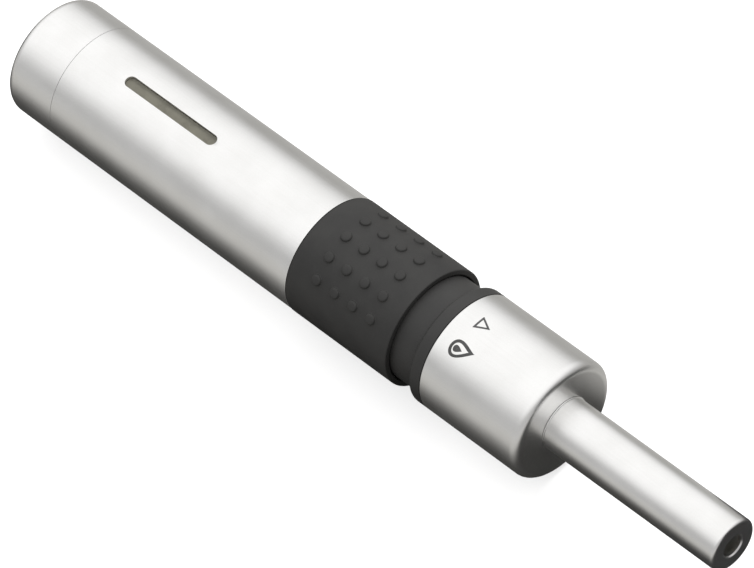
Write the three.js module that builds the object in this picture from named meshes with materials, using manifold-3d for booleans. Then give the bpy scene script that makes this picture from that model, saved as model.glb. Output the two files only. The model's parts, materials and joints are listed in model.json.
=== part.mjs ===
// A refillable kitchen gas lighter that lights when its rubber sleeve is pushed forward.
// It is built lying down: +X runs along the axis from the rear cap to the flame end, +Z is up
// through the level slot, and every station is a distance in millimetres from the rear face.
// Inside, from the rear: a pull-off cap over the filler valve and the flame dial, a clear fuel tank,
// an outlet valve with its lever, the sliding carriage, a piezo igniter, and the head with the
// bored barrel, which holds the gas hose, the ignition lead, the jet and the electrode.
import * as THREE from "three";
import { mergeVertices } from "three/addons/utils/BufferGeometryUtils.js";
import Module from "manifold-3d";

const wasm = await Module();
wasm.setup();

// ---------------------------------------------------------------- driving dimensions, in mm
// Outside
const TUBE_RADIUS = 15; // body tube, rear cap and head share it
const TUBE_WALL = 1;
const CAP_LENGTH = 14.5;
const CAP_END_WALL = 1.6;
const CAP_EDGE = 2; // rounding of the rear rim
const TUBE_LENGTH = 76.6;
const SLEEVE_LENGTH = 31.4;
const SLEEVE_PROUD = 0.1; // rubber over the metal's radius
const SLEEVE_LIP = 1.6; // solid rubber at the sleeve's front end
const LIP_EDGE = 0.5;
const SLEEVE_TRAVEL = 5.5;
const TRAVEL_SPARE = 1.3; // neck that still shows at full travel
const NECK_STEP = 1.6; // neck under the metal's radius
const FLANGE_LENGTH = 3.5;
const FLANGE_EDGE = 1;
const HEAD_LENGTH = 29.5;
const HEAD_EDGE = 2;
const HEAD_END_WALL = 1.2;
const BARREL_RADIUS = 6.6;
const BARREL_WALL = 0.8;
const BARREL_REACH = 50.5; // barrel in front of the head
const BARREL_EDGE = 1.3;
const TIP_WALL = 1.2;
const MUZZLE_RADIUS = 2.8;
const MUZZLE_CHAMFER = 0.5;
// Level slot and the clear window bonded in it
const SLOT_LENGTH = 28.9;
const SLOT_WIDTH = 3;
const SLOT_FROM_SEAM = 14.3;
const WINDOW_RECESS = 0.5; // face of the window under the metal's surface
// Studs on the rubber
const STUD_RADIUS = 1.3;
const STUD_HEIGHT = 0.65;
const STUD_ROWS = 4; // along the axis
const STUD_COLUMNS = 5; // round the sleeve
const STUD_PITCH = 5.6;
const STUD_ANGLE = 22.5; // degrees between columns
const STUD_FROM_REAR = 8;
// Gaps
const SEAM_GAP = 0.2; // between pieces that butt end to end
const BOND_GAP = 0.05; // rubber or liner fixed on its carrier
const SLIDE_GAP = 0.25; // round a piece that slides
const FIT_GAP = 0.3; // round a piece that is pushed in and stays
const PIN_GAP = 0.1; // pins, screws and tubes in their holes
// Fuel tank
const TANK_WALL = 1.8;
const TANK_LENGTH = 47;
const SPIGOT_LENGTH = 5.9; // the rear neck that the cap plugs on
const SPIGOT_WALL = 2.6;
const TANK_END_WALL = 2;
const LID_FLANGE = 2;
const LID_PLUG = 4.8;
const LINER_WALL = 1.2;
const SEAL_THICKNESS = 1.2;
// Filler valve and flame dial
const FILLER_OFFSET = -6.6; // below the axis
const FILLER_RADIUS = 2;
const FILLER_BORE = 1.2;
const FILLER_LENGTH = 12;
const FILLER_TRAVEL = 1.2;
const FILLER_SHOULDER = { length: 1, height: 0.7 }; // rests on the tank's rear face
const FILLER_STEM_RADIUS = 0.7; // the thick rear end that a can's nozzle presses
const FILLER_STEM_INSET = 0.6;
const FILLER_NEEDLE_RADIUS = 0.4;
const FILLER_COLLAR = { station: 4.4, length: 1 }; // from the valve's rear face
const FILLER_SPRING = { radius: 0.75, wire: 0.28 };
const VALVE_LIP = 0.8; // length of the wall that a valve's spring stands on
const SMALL_SPRING_TURNS = 4;
const DIAL_RADIUS = 3.2;
const DIAL_THICKNESS = 2.2;
const DIAL_NOTCHES = 10;
const DIAL_NOTCH_RADIUS = 0.35;
const DIAL_CHAMFER = 0.3;
const DRIVER_SLOT = { depth: 0.9, half: 0.4, land: 0.8 }; // land is left at each end of the slot
const SPINDLE_RADIUS = 1.1;
const SPINDLE_TUBE_WALL = 0.6;
// Outlet valve and lever
const VALVE_RADIUS = 2.9;
const VALVE_BORE = 1.6;
const VALVE_FLANGE = 4.2;
const VALVE_FLANGE_LENGTH = 1.6;
const VALVE_NOSE_LENGTH = 3.6;
const VALVE_NOSE_STEP = 0.4;
const PISTON_LENGTH = 1.2;
const PISTON_ROOM = 1.4; // between the dial's spindle and the piston
const VALVE_SPRING_WIRE = 0.26;
const STEM_RADIUS = 1;
const STEM_COLLAR = 2.3;
const STEM_COLLAR_LENGTH = 0.8;
const STEM_NOSE = 6; // from the collar's rear face to the stem's front end, inside the hose
const STEM_BORE = 0.4;
const STEM_LIFT = 1.7;
const LEVER_THICKNESS = 0.8;
const LEVER_WIDTH = 7;
const LEVER_STAND_OFF = 5.8; // lever plate in front of the tank lid
const LEVER_PIVOT_HEIGHT = 6.2;
const LEVER_REACH = 8.6; // lever end below the axis
const LEVER_LOST_MOTION = 3.1; // hook travel before it meets the lever
const LEVER_PIN_RADIUS = 0.8;
const LEVER_BARREL_WALL = 0.8; // sheet rolled round the pin
const LEVER_EYE_LENGTH = 1.8; // straight part of the eye that the stem goes through
const EAR_THICKNESS = 1.6;
const EAR_HALF = 2.4; // ear over and under the pin
const EAR_FRONT = 2; // ear in front of the pin
const BRACKET_THICKNESS = 1.5;
const BRACKET_BOTTOM = 1;
const BRACKET_MARGIN = 0.6; // plate inside the neck's bay
const BRACKET_SCREW_HEAD = 1.5;
const BRACKET_SCREW_LENGTH = 4.6;
const SCREW_HEAD_LENGTH = 1;
const SCREW_SHANK = 0.7;
const BRACKET_SCREW_ANGLE = 40; // degrees up from the lever's pin
// Carriage and igniter
const NECK_WALL = 1.8;
const CARRIER_WALL = 0.7;
const SLIDER_LENGTH = 10;
const SLIDER_WALL = 2.6;
const PUSH_PLATE = 2;
const ARM_HALF = 2; // half the width of the hook's arm
const ARM_CLEAR = 0.9; // under the arm, to the neck's bay
const HOOK_THICKNESS = 1.1;
const HOOK_OVERLAP = 1.4; // hook over the lever's end
const DRIVE_PIN_RADIUS = 1.1;
const SPRING_WIRE = 1;
const SPRING_TURNS = 6;
const PIEZO_WIDTH = 5.6;
const PIEZO_HEIGHT = 4.6;
const PIEZO_LENGTH = 19;
const PIEZO_WALL = 0.7;
const PIEZO_SPARE = 1; // room left in the case at full stroke
const PIEZO_FRONT_INSET = 0.9; // case behind the cradle's flange
const TERMINAL_RADIUS = 1.2;
const STRIP = { inner: 2.3, outer: 4.1, thickness: 0.3, rise: 0.2 }; // rise over the case's underside
const CRADLE_WALL = 0.9;
const CRADLE_FLANGE = 1.9;
const CRADLE_FROM_REAR = 3; // the channel leaves this much of the case's rear end bare
const CRADLE_SEAT_STEP = 0.8; // the flange's seat outside the neck's bay
// Head and flame end
const SPIGOT_FRONT = 9.7; // neck spigot inside the head
const CORE_SEAT = 12; // depth of the barrel's seat in the head core
const NUT_LENGTH = 3.6;
const NUT_RADIUS_OVER_BARREL = 2;
const NUT_LIP = 0.6;
const BARREL_FLANGE = 1.4;
const BARREL_FLANGE_STEP = 1.2;
const HOSE_RADIUS = 1.9;
const HOSE_BORE = 1.25;
const LEAD_RADIUS = 0.7;
const LEAD_BEND = 3; // length of each soft bend in the ignition lead
const JET_RADIUS = 2;
const JET_BORE = 0.4;
const JET_FROM_TIP = 8.5;
const JET_LENGTH = 7;
const JET_TAIL = 4.5;
const JET_HOLDER_LENGTH = 5;
const AIR_HOLE = { radius: 0.8, circle: 3.7, angle: 60 }; // degrees between the three holes
const ELECTRODE_RADIUS = 0.45;
const ELECTRODE_REACH = 3.5; // in front of the jet
const ELECTRODE_RISE = 1.6; // towards the jet
const HEAD_SCREWS = 3;

// Facets round a circle
const LARGE = 40;
const MEDIUM = 24;
const SMALL = 12;

// ---------------------------------------------------------------- stations along the axis
const seam = CAP_LENGTH;
const tubeStart = seam + SEAM_GAP;
const tubeEnd = tubeStart + TUBE_LENGTH;
const sleeveStart = tubeEnd + SEAM_GAP;
const sleeveEnd = sleeveStart + SLEEVE_LENGTH;
const flangeStart = sleeveEnd + SLEEVE_TRAVEL + TRAVEL_SPARE;
const flangeEnd = flangeStart + FLANGE_LENGTH;
const headStart = flangeEnd + SEAM_GAP;
const headEnd = headStart + HEAD_LENGTH;
const tip = headEnd + BARREL_REACH;

const tankShoulder = tubeStart + SEAM_GAP;
const tankRear = tankShoulder - SPIGOT_LENGTH;
const tankFront = tankShoulder + TANK_LENGTH;
const lidFront = tankFront + SEAM_GAP + LID_FLANGE;
const leverStation = lidFront + LEVER_STAND_OFF;
const cradleFront = flangeEnd + CRADLE_FLANGE + SEAM_GAP + PIEZO_FRONT_INSET;
const piezoFront = cradleFront - CRADLE_FLANGE - SEAM_GAP;
const piezoRear = piezoFront - PIEZO_LENGTH;
const pushFace = piezoRear - SLEEVE_TRAVEL - SEAM_GAP; // front of the carriage's push plate
const sliderEnd = pushFace + PUSH_PLATE;
const sliderStart = sliderEnd - SLIDER_LENGTH;
const drivePinStation = sliderStart + SLIDER_LENGTH / 2;
const coreRear = cradleFront + SEAM_GAP;
const spigotEnd = flangeEnd + SPIGOT_FRONT;
const coreFront = headEnd - HEAD_END_WALL - SEAM_GAP;
const barrelRear = coreFront - CORE_SEAT;
const jetFront = tip - JET_FROM_TIP;
const jetRear = jetFront - JET_LENGTH;

// ---------------------------------------------------------------- radii
const tubeBore = TUBE_RADIUS - TUBE_WALL;
const tankRadius = tubeBore - FIT_GAP;
const tankCavity = tankRadius - TANK_WALL;
const linerBore = tubeBore - BOND_GAP - LINER_WALL;
const spigotRadius = linerBore - FIT_GAP;
const spigotCavity = spigotRadius - SPIGOT_WALL;
const neckRadius = TUBE_RADIUS - NECK_STEP;
const bayRadius = neckRadius - NECK_WALL;
const carrierBore = neckRadius + SLIDE_GAP;
const carrierRadius = carrierBore + CARRIER_WALL;
const sleeveRadius = TUBE_RADIUS + SLEEVE_PROUD;
const spigotFrontRadius = tubeBore - FIT_GAP;
const cradleSeat = bayRadius + CRADLE_SEAT_STEP;
const springRadius = bayRadius - SLIDE_GAP * 2 - SPRING_WIRE / 2;
const barrelBore = BARREL_RADIUS - BARREL_WALL;
const nutRadius = BARREL_RADIUS + NUT_RADIUS_OVER_BARREL;
const spindleTubeRadius = SPINDLE_RADIUS + FIT_GAP + SPINDLE_TUBE_WALL;
const piezoTop = -HOSE_RADIUS - FIT_GAP * 2;
const piezoBottom = piezoTop - PIEZO_HEIGHT;
const piezoMiddle = (piezoTop + piezoBottom) / 2;
const leadHeight = -HOSE_RADIUS - LEAD_RADIUS - FIT_GAP;

// ---------------------------------------------------------------- finishes
const finish = (color, roughness, metalness, extra = {}) =>
  new THREE.MeshStandardMaterial({ color, roughness, metalness, ...extra });
const satinMetal = finish(0xd2d1cd, 0.32, 1);
const blackRubber = finish(0x2e2d2c, 0.62, 0);
const blackPlastic = finish(0x323130, 0.5, 0);
const greyPlastic = finish(0x8b8a86, 0.5, 0);
const smokedPlastic = finish(0x8a8776, 0.25, 0, { transparent: true, opacity: 0.6 });
const brass = finish(0xb8954a, 0.3, 1);
const steel = finish(0xb9bcc0, 0.28, 1);
const ceramic = finish(0xe6e2d8, 0.6, 0);
const sealRubber = finish(0x1d1d1d, 0.7, 0);
const silicone = finish(0xd9d6cf, 0.45, 0);
const redInsulation = finish(0xa8322a, 0.5, 0);

// ---------------------------------------------------------------- shapes
// Faces of a closed mesh are turned outwards.
function facingOut(geometry) {
  const flat = geometry.index ? geometry.toNonIndexed() : geometry;
  const p = flat.attributes.position;
  const [a, b, c] = [new THREE.Vector3(), new THREE.Vector3(), new THREE.Vector3()];
  let volume = 0;
  for (let i = 0; i < p.count; i += 3) {
    a.fromBufferAttribute(p, i);
    b.fromBufferAttribute(p, i + 1);
    c.fromBufferAttribute(p, i + 2);
    volume += a.dot(b.cross(c));
  }
  if (volume >= 0) return flat;
  for (let i = 0; i < p.count; i += 3) {
    b.fromBufferAttribute(p, i + 1);
    c.fromBufferAttribute(p, i + 2);
    p.setXYZ(i + 1, c.x, c.y, c.z);
    p.setXYZ(i + 2, b.x, b.y, b.z);
  }
  return flat;
}

// A solid of revolution about X. The outline is a list of [station, radius] points that either starts
// and ends on the axis or closes on itself, and a flat facet faces straight down.
function turned(outline, facets) {
  const points = outline.map(([station, radius]) => new THREE.Vector2(radius, station));
  const open = points[0].x === 0 && points[points.length - 1].x === 0;
  if (!open) points.push(points[0].clone());
  const lathe = new THREE.LatheGeometry(points, facets, Math.PI / facets, 2 * Math.PI);
  return facingOut(lathe.rotateZ(-Math.PI / 2));
}

// Points of an arc in the [station, radius] plane, angles in degrees from the +X direction.
function arc(station, radius, size, from, to, steps = 5) {
  return Array.from({ length: steps + 1 }, (_, i) => {
    const a = THREE.MathUtils.degToRad(from + ((to - from) * i) / steps);
    return [station + size * Math.cos(a), radius + size * Math.sin(a)];
  });
}

const ring = (from, to, inner, outer, facets) =>
  turned([[from, inner], [from, outer], [to, outer], [to, inner]], facets);

function rodX(from, to, radius, facets, y = 0, z = 0) {
  return turned([[from, 0], [from, radius], [to, radius], [to, 0]], facets).translate(0, y, z);
}

function rodY(from, to, radius, facets, x, z) {
  return rodX(from, to, radius, facets).rotateZ(Math.PI / 2).translate(x, 0, z);
}

function block(x0, x1, y0, y1, z0, z1) {
  return new THREE.BoxGeometry(x1 - x0, y1 - y0, z1 - z0)
    .translate((x0 + x1) / 2, (y0 + y1) / 2, (z0 + z1) / 2);
}

// A round section carried along a curve, with a bore through it when bore is not 0.
function drawn(curve, radius, bore, steps, facets) {
  const section = new THREE.Shape().absarc(0, 0, radius, 0, 2 * Math.PI);
  if (bore) section.holes.push(new THREE.Path().absarc(0, 0, bore, 0, 2 * Math.PI, true));
  const settings = { steps, extrudePath: curve, curveSegments: facets };
  return facingOut(new THREE.ExtrudeGeometry(section, settings));
}

// A helix about X, for coil springs.
class Helix extends THREE.Curve {
  constructor(from, to, radius, turns) {
    super();
    Object.assign(this, { from, to, radius, turns });
  }
  getPoint(t, target = new THREE.Vector3()) {
    const a = t * this.turns * 2 * Math.PI;
    const x = this.from + (this.to - this.from) * t;
    return target.set(x, this.radius * Math.sin(a), this.radius * Math.cos(a));
  }
}

function coil(from, to, radius, wire, turns, perTurn, facets) {
  const clear = wire / 2 + SEAM_GAP / 2;
  const helix = new Helix(from + clear, to - clear, radius, turns);
  return drawn(helix, wire / 2, 0, turns * perTurn, facets);
}

// ---------------------------------------------------------------- joins and cuts
function solidOf(geometry) {
  const bare = new THREE.BufferGeometry();
  const flat = geometry.index ? geometry.toNonIndexed() : geometry;
  bare.setAttribute("position", flat.getAttribute("position"));
  const merged = mergeVertices(bare, 1e-4);
  return new wasm.Manifold(
    new wasm.Mesh({
      numProp: 3,
      vertProperties: merged.attributes.position.array,
      triVerts: new Uint32Array(merged.index.array),
    }),
  );
}

function geometryOf(solid) {
  const mesh = solid.getMesh();
  return new THREE.BufferGeometry()
    .setAttribute("position", new THREE.BufferAttribute(mesh.vertProperties, 3))
    .setIndex(new THREE.BufferAttribute(mesh.triVerts, 1))
    .toNonIndexed();
}

const cut = (base, ...tools) =>
  geometryOf(tools.reduce((solid, tool) => solid.subtract(solidOf(tool)), solidOf(base)));
const joined = (base, ...more) =>
  geometryOf(more.reduce((solid, other) => solid.add(solidOf(other)), solidOf(base)));
const common = (base, other) => geometryOf(solidOf(base).intersect(solidOf(other)));

function add(group, name, geometry, material) {
  geometry.computeVertexNormals();
  const mesh = new THREE.Mesh(geometry, material);
  mesh.name = name;
  group.add(mesh);
  return mesh;
}

// ---------------------------------------------------------------- rear cap
function rearCap() {
  const group = new THREE.Group();
  const shell = turned(
    [
      [0, 0],
      ...arc(CAP_EDGE, TUBE_RADIUS - CAP_EDGE, CAP_EDGE, 180, 90),
      [seam, TUBE_RADIUS],
      [seam, tubeBore],
      [CAP_END_WALL, tubeBore],
      [CAP_END_WALL, 0],
    ],
    LARGE,
  );
  add(group, "rear_cap", shell, satinMetal);
  const liner = ring(CAP_END_WALL + SEAM_GAP, seam - SEAM_GAP, linerBore, tubeBore - BOND_GAP, LARGE);
  add(group, "cap_liner", liner, blackPlastic);
  return group;
}

// ---------------------------------------------------------------- body tube with its level slot
// A long round-ended block from the axis upwards, smaller than the slot by margin all round.
function slotBlock(margin) {
  const half = SLOT_WIDTH / 2 - margin;
  const straight = SLOT_LENGTH - SLOT_WIDTH;
  const outline = new THREE.Shape()
    .absarc(0, 0, half, Math.PI / 2, (3 * Math.PI) / 2)
    .absarc(straight, 0, half, -Math.PI / 2, Math.PI / 2);
  const settings = { depth: TUBE_RADIUS + 1, bevelEnabled: false, curveSegments: 8 };
  const slot = new THREE.ExtrudeGeometry(outline, settings);
  return facingOut(slot.translate(seam + SLOT_FROM_SEAM + SLOT_WIDTH / 2, 0, 0));
}

function bodyTube(group) {
  const shell = ring(tubeStart, tubeEnd, tubeBore, TUBE_RADIUS, LARGE);
  add(group, "body_tube", cut(shell, slotBlock(0)), satinMetal);
  const pane = ring(tubeStart, tubeEnd, tankRadius + PIN_GAP, TUBE_RADIUS - WINDOW_RECESS, LARGE);
  add(group, "level_window", common(slotBlock(PIN_GAP), pane), smokedPlastic);
}

// ---------------------------------------------------------------- fuel tank
// O-ring groove in an outline: the floor lies one seal's thickness under the wall it seals against.
const sealFloor = (wall) => wall - SEAL_THICKNESS - BOND_GAP * 2;
const seal = (station, wall) =>
  facingOut(
    new THREE.TorusGeometry(wall - BOND_GAP - SEAL_THICKNESS / 2, SEAL_THICKNESS / 2, 6, LARGE)
      .rotateY(Math.PI / 2)
      .rotateX(Math.PI / LARGE)
      .translate(station, 0, 0),
  );
const capSealStation = tankRear + SPIGOT_LENGTH / 2;
const lidSealStation = tankFront - LID_PLUG / 2;
const grooveHalf = SEAL_THICKNESS / 2 + PIN_GAP;
const groove = (station, outer, wall, rearwards = 1) => [
  [station - rearwards * grooveHalf, outer],
  [station - rearwards * grooveHalf, sealFloor(wall)],
  [station + rearwards * grooveHalf, sealFloor(wall)],
  [station + rearwards * grooveHalf, outer],
];

function fuelTank() {
  const spindleHole = spindleTubeRadius + PIN_GAP;
  const widening = tankShoulder + SPIGOT_WALL;
  const shell = turned(
    [
      [tankRear, spindleHole],
      [tankRear, spigotRadius],
      ...groove(capSealStation, spigotRadius, linerBore),
      [tankShoulder, spigotRadius],
      [tankShoulder, tankRadius],
      [tankFront, tankRadius],
      [tankFront, tankCavity],
      [widening + tankCavity - spigotCavity, tankCavity],
      [widening, spigotCavity],
      [tankRear + TANK_END_WALL, spigotCavity],
      [tankRear + TANK_END_WALL, spindleHole],
    ],
    LARGE,
  );
  const filler = rodX(tankRear - 1, tankRear + TANK_END_WALL + 1, FILLER_RADIUS + PIN_GAP, SMALL);
  return cut(shell, filler.translate(0, 0, FILLER_OFFSET));
}

const screwHole = SCREW_SHANK + PIN_GAP * 1.5;
const bracketScrewCircle = bayRadius - BRACKET_SCREW_HEAD - FIT_GAP * 2;
const bracketScrewAngle = THREE.MathUtils.degToRad(BRACKET_SCREW_ANGLE);
const bracketScrewPlace = {
  y: bracketScrewCircle * Math.cos(bracketScrewAngle),
  z: bracketScrewCircle * Math.sin(bracketScrewAngle),
};

function tankLid() {
  const plugRadius = tankCavity - FIT_GAP;
  const plugRear = tankFront - LID_PLUG;
  const shell = turned(
    [
      [plugRear, VALVE_RADIUS + PIN_GAP],
      [plugRear, plugRadius],
      ...groove(lidSealStation, plugRadius, tankCavity),
      [tankFront + SEAM_GAP, plugRadius],
      [tankFront + SEAM_GAP, tankRadius],
      [lidFront, tankRadius],
      [lidFront, VALVE_RADIUS + PIN_GAP],
    ],
    LARGE,
  );
  const holes = [-1, 1].map((side) =>
    rodX(plugRear + 1, lidFront + 1, screwHole, SMALL, side * bracketScrewPlace.y, bracketScrewPlace.z),
  );
  return cut(shell, ...holes);
}

// ---------------------------------------------------------------- filler valve
const fillerRear = tankRear - DIAL_THICKNESS;
const fillerFront = fillerRear + FILLER_LENGTH;

function fillerValve(group) {
  const springSeat = fillerFront - VALVE_LIP;
  const shoulderRear = tankRear - FILLER_SHOULDER.length;
  const shoulderRadius = FILLER_RADIUS + FILLER_SHOULDER.height;
  const body = turned(
    [
      [fillerRear, FILLER_BORE],
      [fillerRear, FILLER_RADIUS],
      [shoulderRear, FILLER_RADIUS],
      [shoulderRear, shoulderRadius],
      [tankRear - SEAM_GAP, shoulderRadius],
      [tankRear - SEAM_GAP, FILLER_RADIUS],
      [fillerFront, FILLER_RADIUS],
      [fillerFront, FILLER_BORE / 2],
      [springSeat, FILLER_BORE / 2],
      [springSeat, FILLER_BORE],
    ],
    SMALL,
  );
  const stemRear = fillerRear + FILLER_STEM_INSET;
  const collar = fillerRear + FILLER_COLLAR.station;
  const collarFront = collar + FILLER_COLLAR.length;
  const collarRadius = FILLER_BORE - PIN_GAP * 1.5;
  const stemEnd = springSeat - FILLER_TRAVEL - SEAM_GAP;
  const stem = turned(
    [
      [stemRear, 0],
      [stemRear, FILLER_STEM_RADIUS],
      [collar, FILLER_STEM_RADIUS],
      [collar, collarRadius],
      [collarFront, collarRadius],
      [collarFront, FILLER_NEEDLE_RADIUS],
      [stemEnd, FILLER_NEEDLE_RADIUS],
      [stemEnd, 0],
    ],
    SMALL,
  );
  const { radius, wire } = FILLER_SPRING;
  const spring = coil(collarFront, springSeat, radius, wire, SMALL_SPRING_TURNS, 10, 3);
  for (const [name, geometry, material] of [
    ["filler_valve", body, brass],
    ["filler_stem", stem, brass],
    ["filler_spring", spring, steel],
  ])
    add(group, name, geometry, material).position.z = FILLER_OFFSET;
}

// ---------------------------------------------------------------- flame dial and its spindle
const spindleFront = tankFront - LID_PLUG + PISTON_LENGTH;

function flameAdjuster(group) {
  const dialRear = tankRear - SEAM_GAP - DIAL_THICKNESS;
  const dialFront = tankRear - SEAM_GAP;
  const hubEnd = tankRear + TANK_END_WALL;
  const dial = turned(
    [
      [dialRear, 0],
      [dialRear, DIAL_RADIUS - DIAL_CHAMFER],
      [dialRear + DIAL_CHAMFER, DIAL_RADIUS],
      [dialFront, DIAL_RADIUS],
      [dialFront, SPINDLE_RADIUS],
      [hubEnd, SPINDLE_RADIUS],
      [hubEnd, 0],
    ],
    MEDIUM,
  );
  const notches = Array.from({ length: DIAL_NOTCHES }, (_, i) => {
    const a = (2 * Math.PI * i) / DIAL_NOTCHES;
    const [y, z] = [DIAL_RADIUS * Math.sin(a), DIAL_RADIUS * Math.cos(a)];
    return rodX(dialRear - 1, dialFront + 1, DIAL_NOTCH_RADIUS, 6, y, z);
  });
  const { depth, half, land } = DRIVER_SLOT;
  const reach = DIAL_RADIUS - land;
  const driverSlot = block(dialRear - 1, dialRear + depth, -half, half, -reach, reach);
  add(group, "flame_dial", cut(dial, driverSlot, ...notches), blackPlastic);
  add(group, "dial_spindle", rodX(hubEnd + SEAM_GAP, spindleFront, SPINDLE_RADIUS, SMALL), steel);
  const tube = ring(tankRear, tankFront - LID_PLUG, SPINDLE_RADIUS + FIT_GAP, spindleTubeRadius, MEDIUM);
  add(group, "spindle_tube", tube, brass);
}

// ---------------------------------------------------------------- outlet valve, lever and bracket
const valveRear = tankFront - LID_PLUG + SEAM_GAP;
const valveNose = lidFront + VALVE_NOSE_LENGTH;
const valveShoulder = valveNose - VALVE_LIP;
const pistonRear = spindleFront + PISTON_ROOM;
const pistonFront = pistonRear + PISTON_LENGTH;
const collarRear = leverStation + LEVER_THICKNESS / 2 + SEAM_GAP;
const collarFront = collarRear + STEM_COLLAR_LENGTH;
const stemFront = collarRear + STEM_NOSE;

function outletValve(group) {
  const flange = lidFront + SEAM_GAP;
  const body = turned(
    [
      [valveRear, SPINDLE_RADIUS + PIN_GAP],
      [valveRear, VALVE_RADIUS],
      [flange, VALVE_RADIUS],
      [flange, VALVE_FLANGE],
      [flange + VALVE_FLANGE_LENGTH, VALVE_FLANGE],
      [flange + VALVE_FLANGE_LENGTH, VALVE_RADIUS - VALVE_NOSE_STEP],
      [valveNose, VALVE_RADIUS - VALVE_NOSE_STEP],
      [valveNose, STEM_RADIUS + PIN_GAP],
      [valveShoulder, STEM_RADIUS + PIN_GAP],
      [valveShoulder, VALVE_BORE],
      [spindleFront + SEAM_GAP, VALVE_BORE],
      [spindleFront + SEAM_GAP, SPINDLE_RADIUS + PIN_GAP],
    ],
    SMALL,
  );
  add(group, "outlet_valve", body, brass);
  const stem = turned(
    [
      [pistonRear, 0],
      [pistonRear, VALVE_BORE - PIN_GAP * 1.5],
      [pistonFront, VALVE_BORE - PIN_GAP * 1.5],
      [pistonFront, STEM_RADIUS],
      [collarRear, STEM_RADIUS],
      [collarRear, STEM_COLLAR],
      [collarFront, STEM_COLLAR],
      [collarFront, STEM_RADIUS],
      [stemFront, STEM_RADIUS],
      [stemFront, STEM_BORE],
      [pistonFront, STEM_BORE],
      [pistonFront, 0],
    ],
    SMALL,
  );
  add(group, "valve_stem", stem, brass);
  const middle = (VALVE_BORE + STEM_RADIUS) / 2;
  const spring = coil(pistonFront, valveShoulder, middle, VALVE_SPRING_WIRE, SMALL_SPRING_TURNS, 10, 3);
  add(group, "valve_spring", spring, steel);
}

function valveLever() {
  const half = LEVER_WIDTH / 2;
  const tail = LEVER_WIDTH / 4;
  const top = LEVER_PIVOT_HEIGHT;
  const plate = new THREE.Shape([
    new THREE.Vector2(-half, top),
    new THREE.Vector2(-half, -STEM_COLLAR),
    new THREE.Vector2(-tail, -STEM_COLLAR - half),
    new THREE.Vector2(-tail, -LEVER_REACH),
    new THREE.Vector2(tail, -LEVER_REACH),
    new THREE.Vector2(tail, -STEM_COLLAR - half),
    new THREE.Vector2(half, -STEM_COLLAR),
    new THREE.Vector2(half, top),
  ]);
  const eyeHalf = STEM_RADIUS + FIT_GAP;
  const eye = new THREE.Path()
    .absarc(0, LEVER_EYE_LENGTH / 2, eyeHalf, 0, Math.PI)
    .absarc(0, -LEVER_EYE_LENGTH / 2, eyeHalf, Math.PI, 2 * Math.PI);
  plate.holes.push(eye);
  const settings = { depth: LEVER_THICKNESS, bevelEnabled: false, curveSegments: 6 };
  const sheet = new THREE.ExtrudeGeometry(plate, settings)
    .rotateX(Math.PI / 2)
    .rotateZ(Math.PI / 2)
    .translate(leverStation - LEVER_THICKNESS / 2, 0, 0);
  const barrelRadius = LEVER_PIN_RADIUS + LEVER_BARREL_WALL;
  const barrel = rodY(-half, half, barrelRadius, SMALL, leverStation, top);
  const hole = rodY(-half - 1, half + 1, LEVER_PIN_RADIUS + PIN_GAP, SMALL, leverStation, top);
  return cut(joined(facingOut(sheet), barrel), hole);
}

function leverBracket(group) {
  const plateRear = lidFront + SEAM_GAP;
  const plateFront = plateRear + BRACKET_THICKNESS;
  const plateRadius = bayRadius - BRACKET_MARGIN;
  const earInner = LEVER_WIDTH / 2 + FIT_GAP;
  const earOuter = earInner + EAR_THICKNESS;
  const earFront = leverStation + EAR_FRONT;
  const [before, after] = [plateRear - 1, plateFront + 1];
  const plate = cut(
    common(
      block(plateRear, plateFront, -plateRadius, plateRadius, BRACKET_BOTTOM, plateRadius),
      rodX(before, after, plateRadius, LARGE),
    ),
    rodX(before, after, VALVE_FLANGE + FIT_GAP, MEDIUM),
    ...[-1, 1].map((side) =>
      rodX(before, after, screwHole, SMALL, side * bracketScrewPlace.y, bracketScrewPlace.z),
    ),
  );
  const ears = [-1, 1].map((side) => {
    const [y0, y1] = side > 0 ? [earInner, earOuter] : [-earOuter, -earInner];
    const earRear = plateRear + BRACKET_THICKNESS / 3;
    return block(earRear, earFront, y0, y1, LEVER_PIVOT_HEIGHT - EAR_HALF, LEVER_PIVOT_HEIGHT + EAR_HALF);
  });
  const pinHole = rodY(
    -earOuter - 1, earOuter + 1, LEVER_PIN_RADIUS + PIN_GAP / 2, SMALL, leverStation, LEVER_PIVOT_HEIGHT,
  );
  add(group, "lever_bracket", cut(joined(plate, ...ears), pinHole), blackPlastic);
  const pinEnd = earOuter + FIT_GAP;
  const pin = rodY(-pinEnd, pinEnd, LEVER_PIN_RADIUS, SMALL, leverStation, LEVER_PIVOT_HEIGHT);
  add(group, "lever_pin", pin, steel);
  for (const [name, side] of [["bracket_screw_left", 1], ["bracket_screw_right", -1]]) {
    const screw = add(group, name, panScrew(BRACKET_SCREW_HEAD, BRACKET_SCREW_LENGTH), steel);
    screw.position.set(plateFront + SEAM_GAP / 2, side * bracketScrewPlace.y, bracketScrewPlace.z);
  }
}

// A pan-head screw along X: its head stands in front of station 0 and its shank goes back from it.
function panScrew(head, length) {
  const [slotDepth, slotHalf, chamfer] = [0.45, 0.2, 0.4];
  const body = turned(
    [
      [-length, 0],
      [-length, SCREW_SHANK],
      [0, SCREW_SHANK],
      [0, head],
      [SCREW_HEAD_LENGTH - chamfer, head],
      [SCREW_HEAD_LENGTH, head - chamfer],
      [SCREW_HEAD_LENGTH, 0],
    ],
    SMALL,
  );
  const slotRear = SCREW_HEAD_LENGTH - slotDepth;
  return cut(body, block(slotRear, SCREW_HEAD_LENGTH + 1, -slotHalf, slotHalf, -head, head));
}

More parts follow.
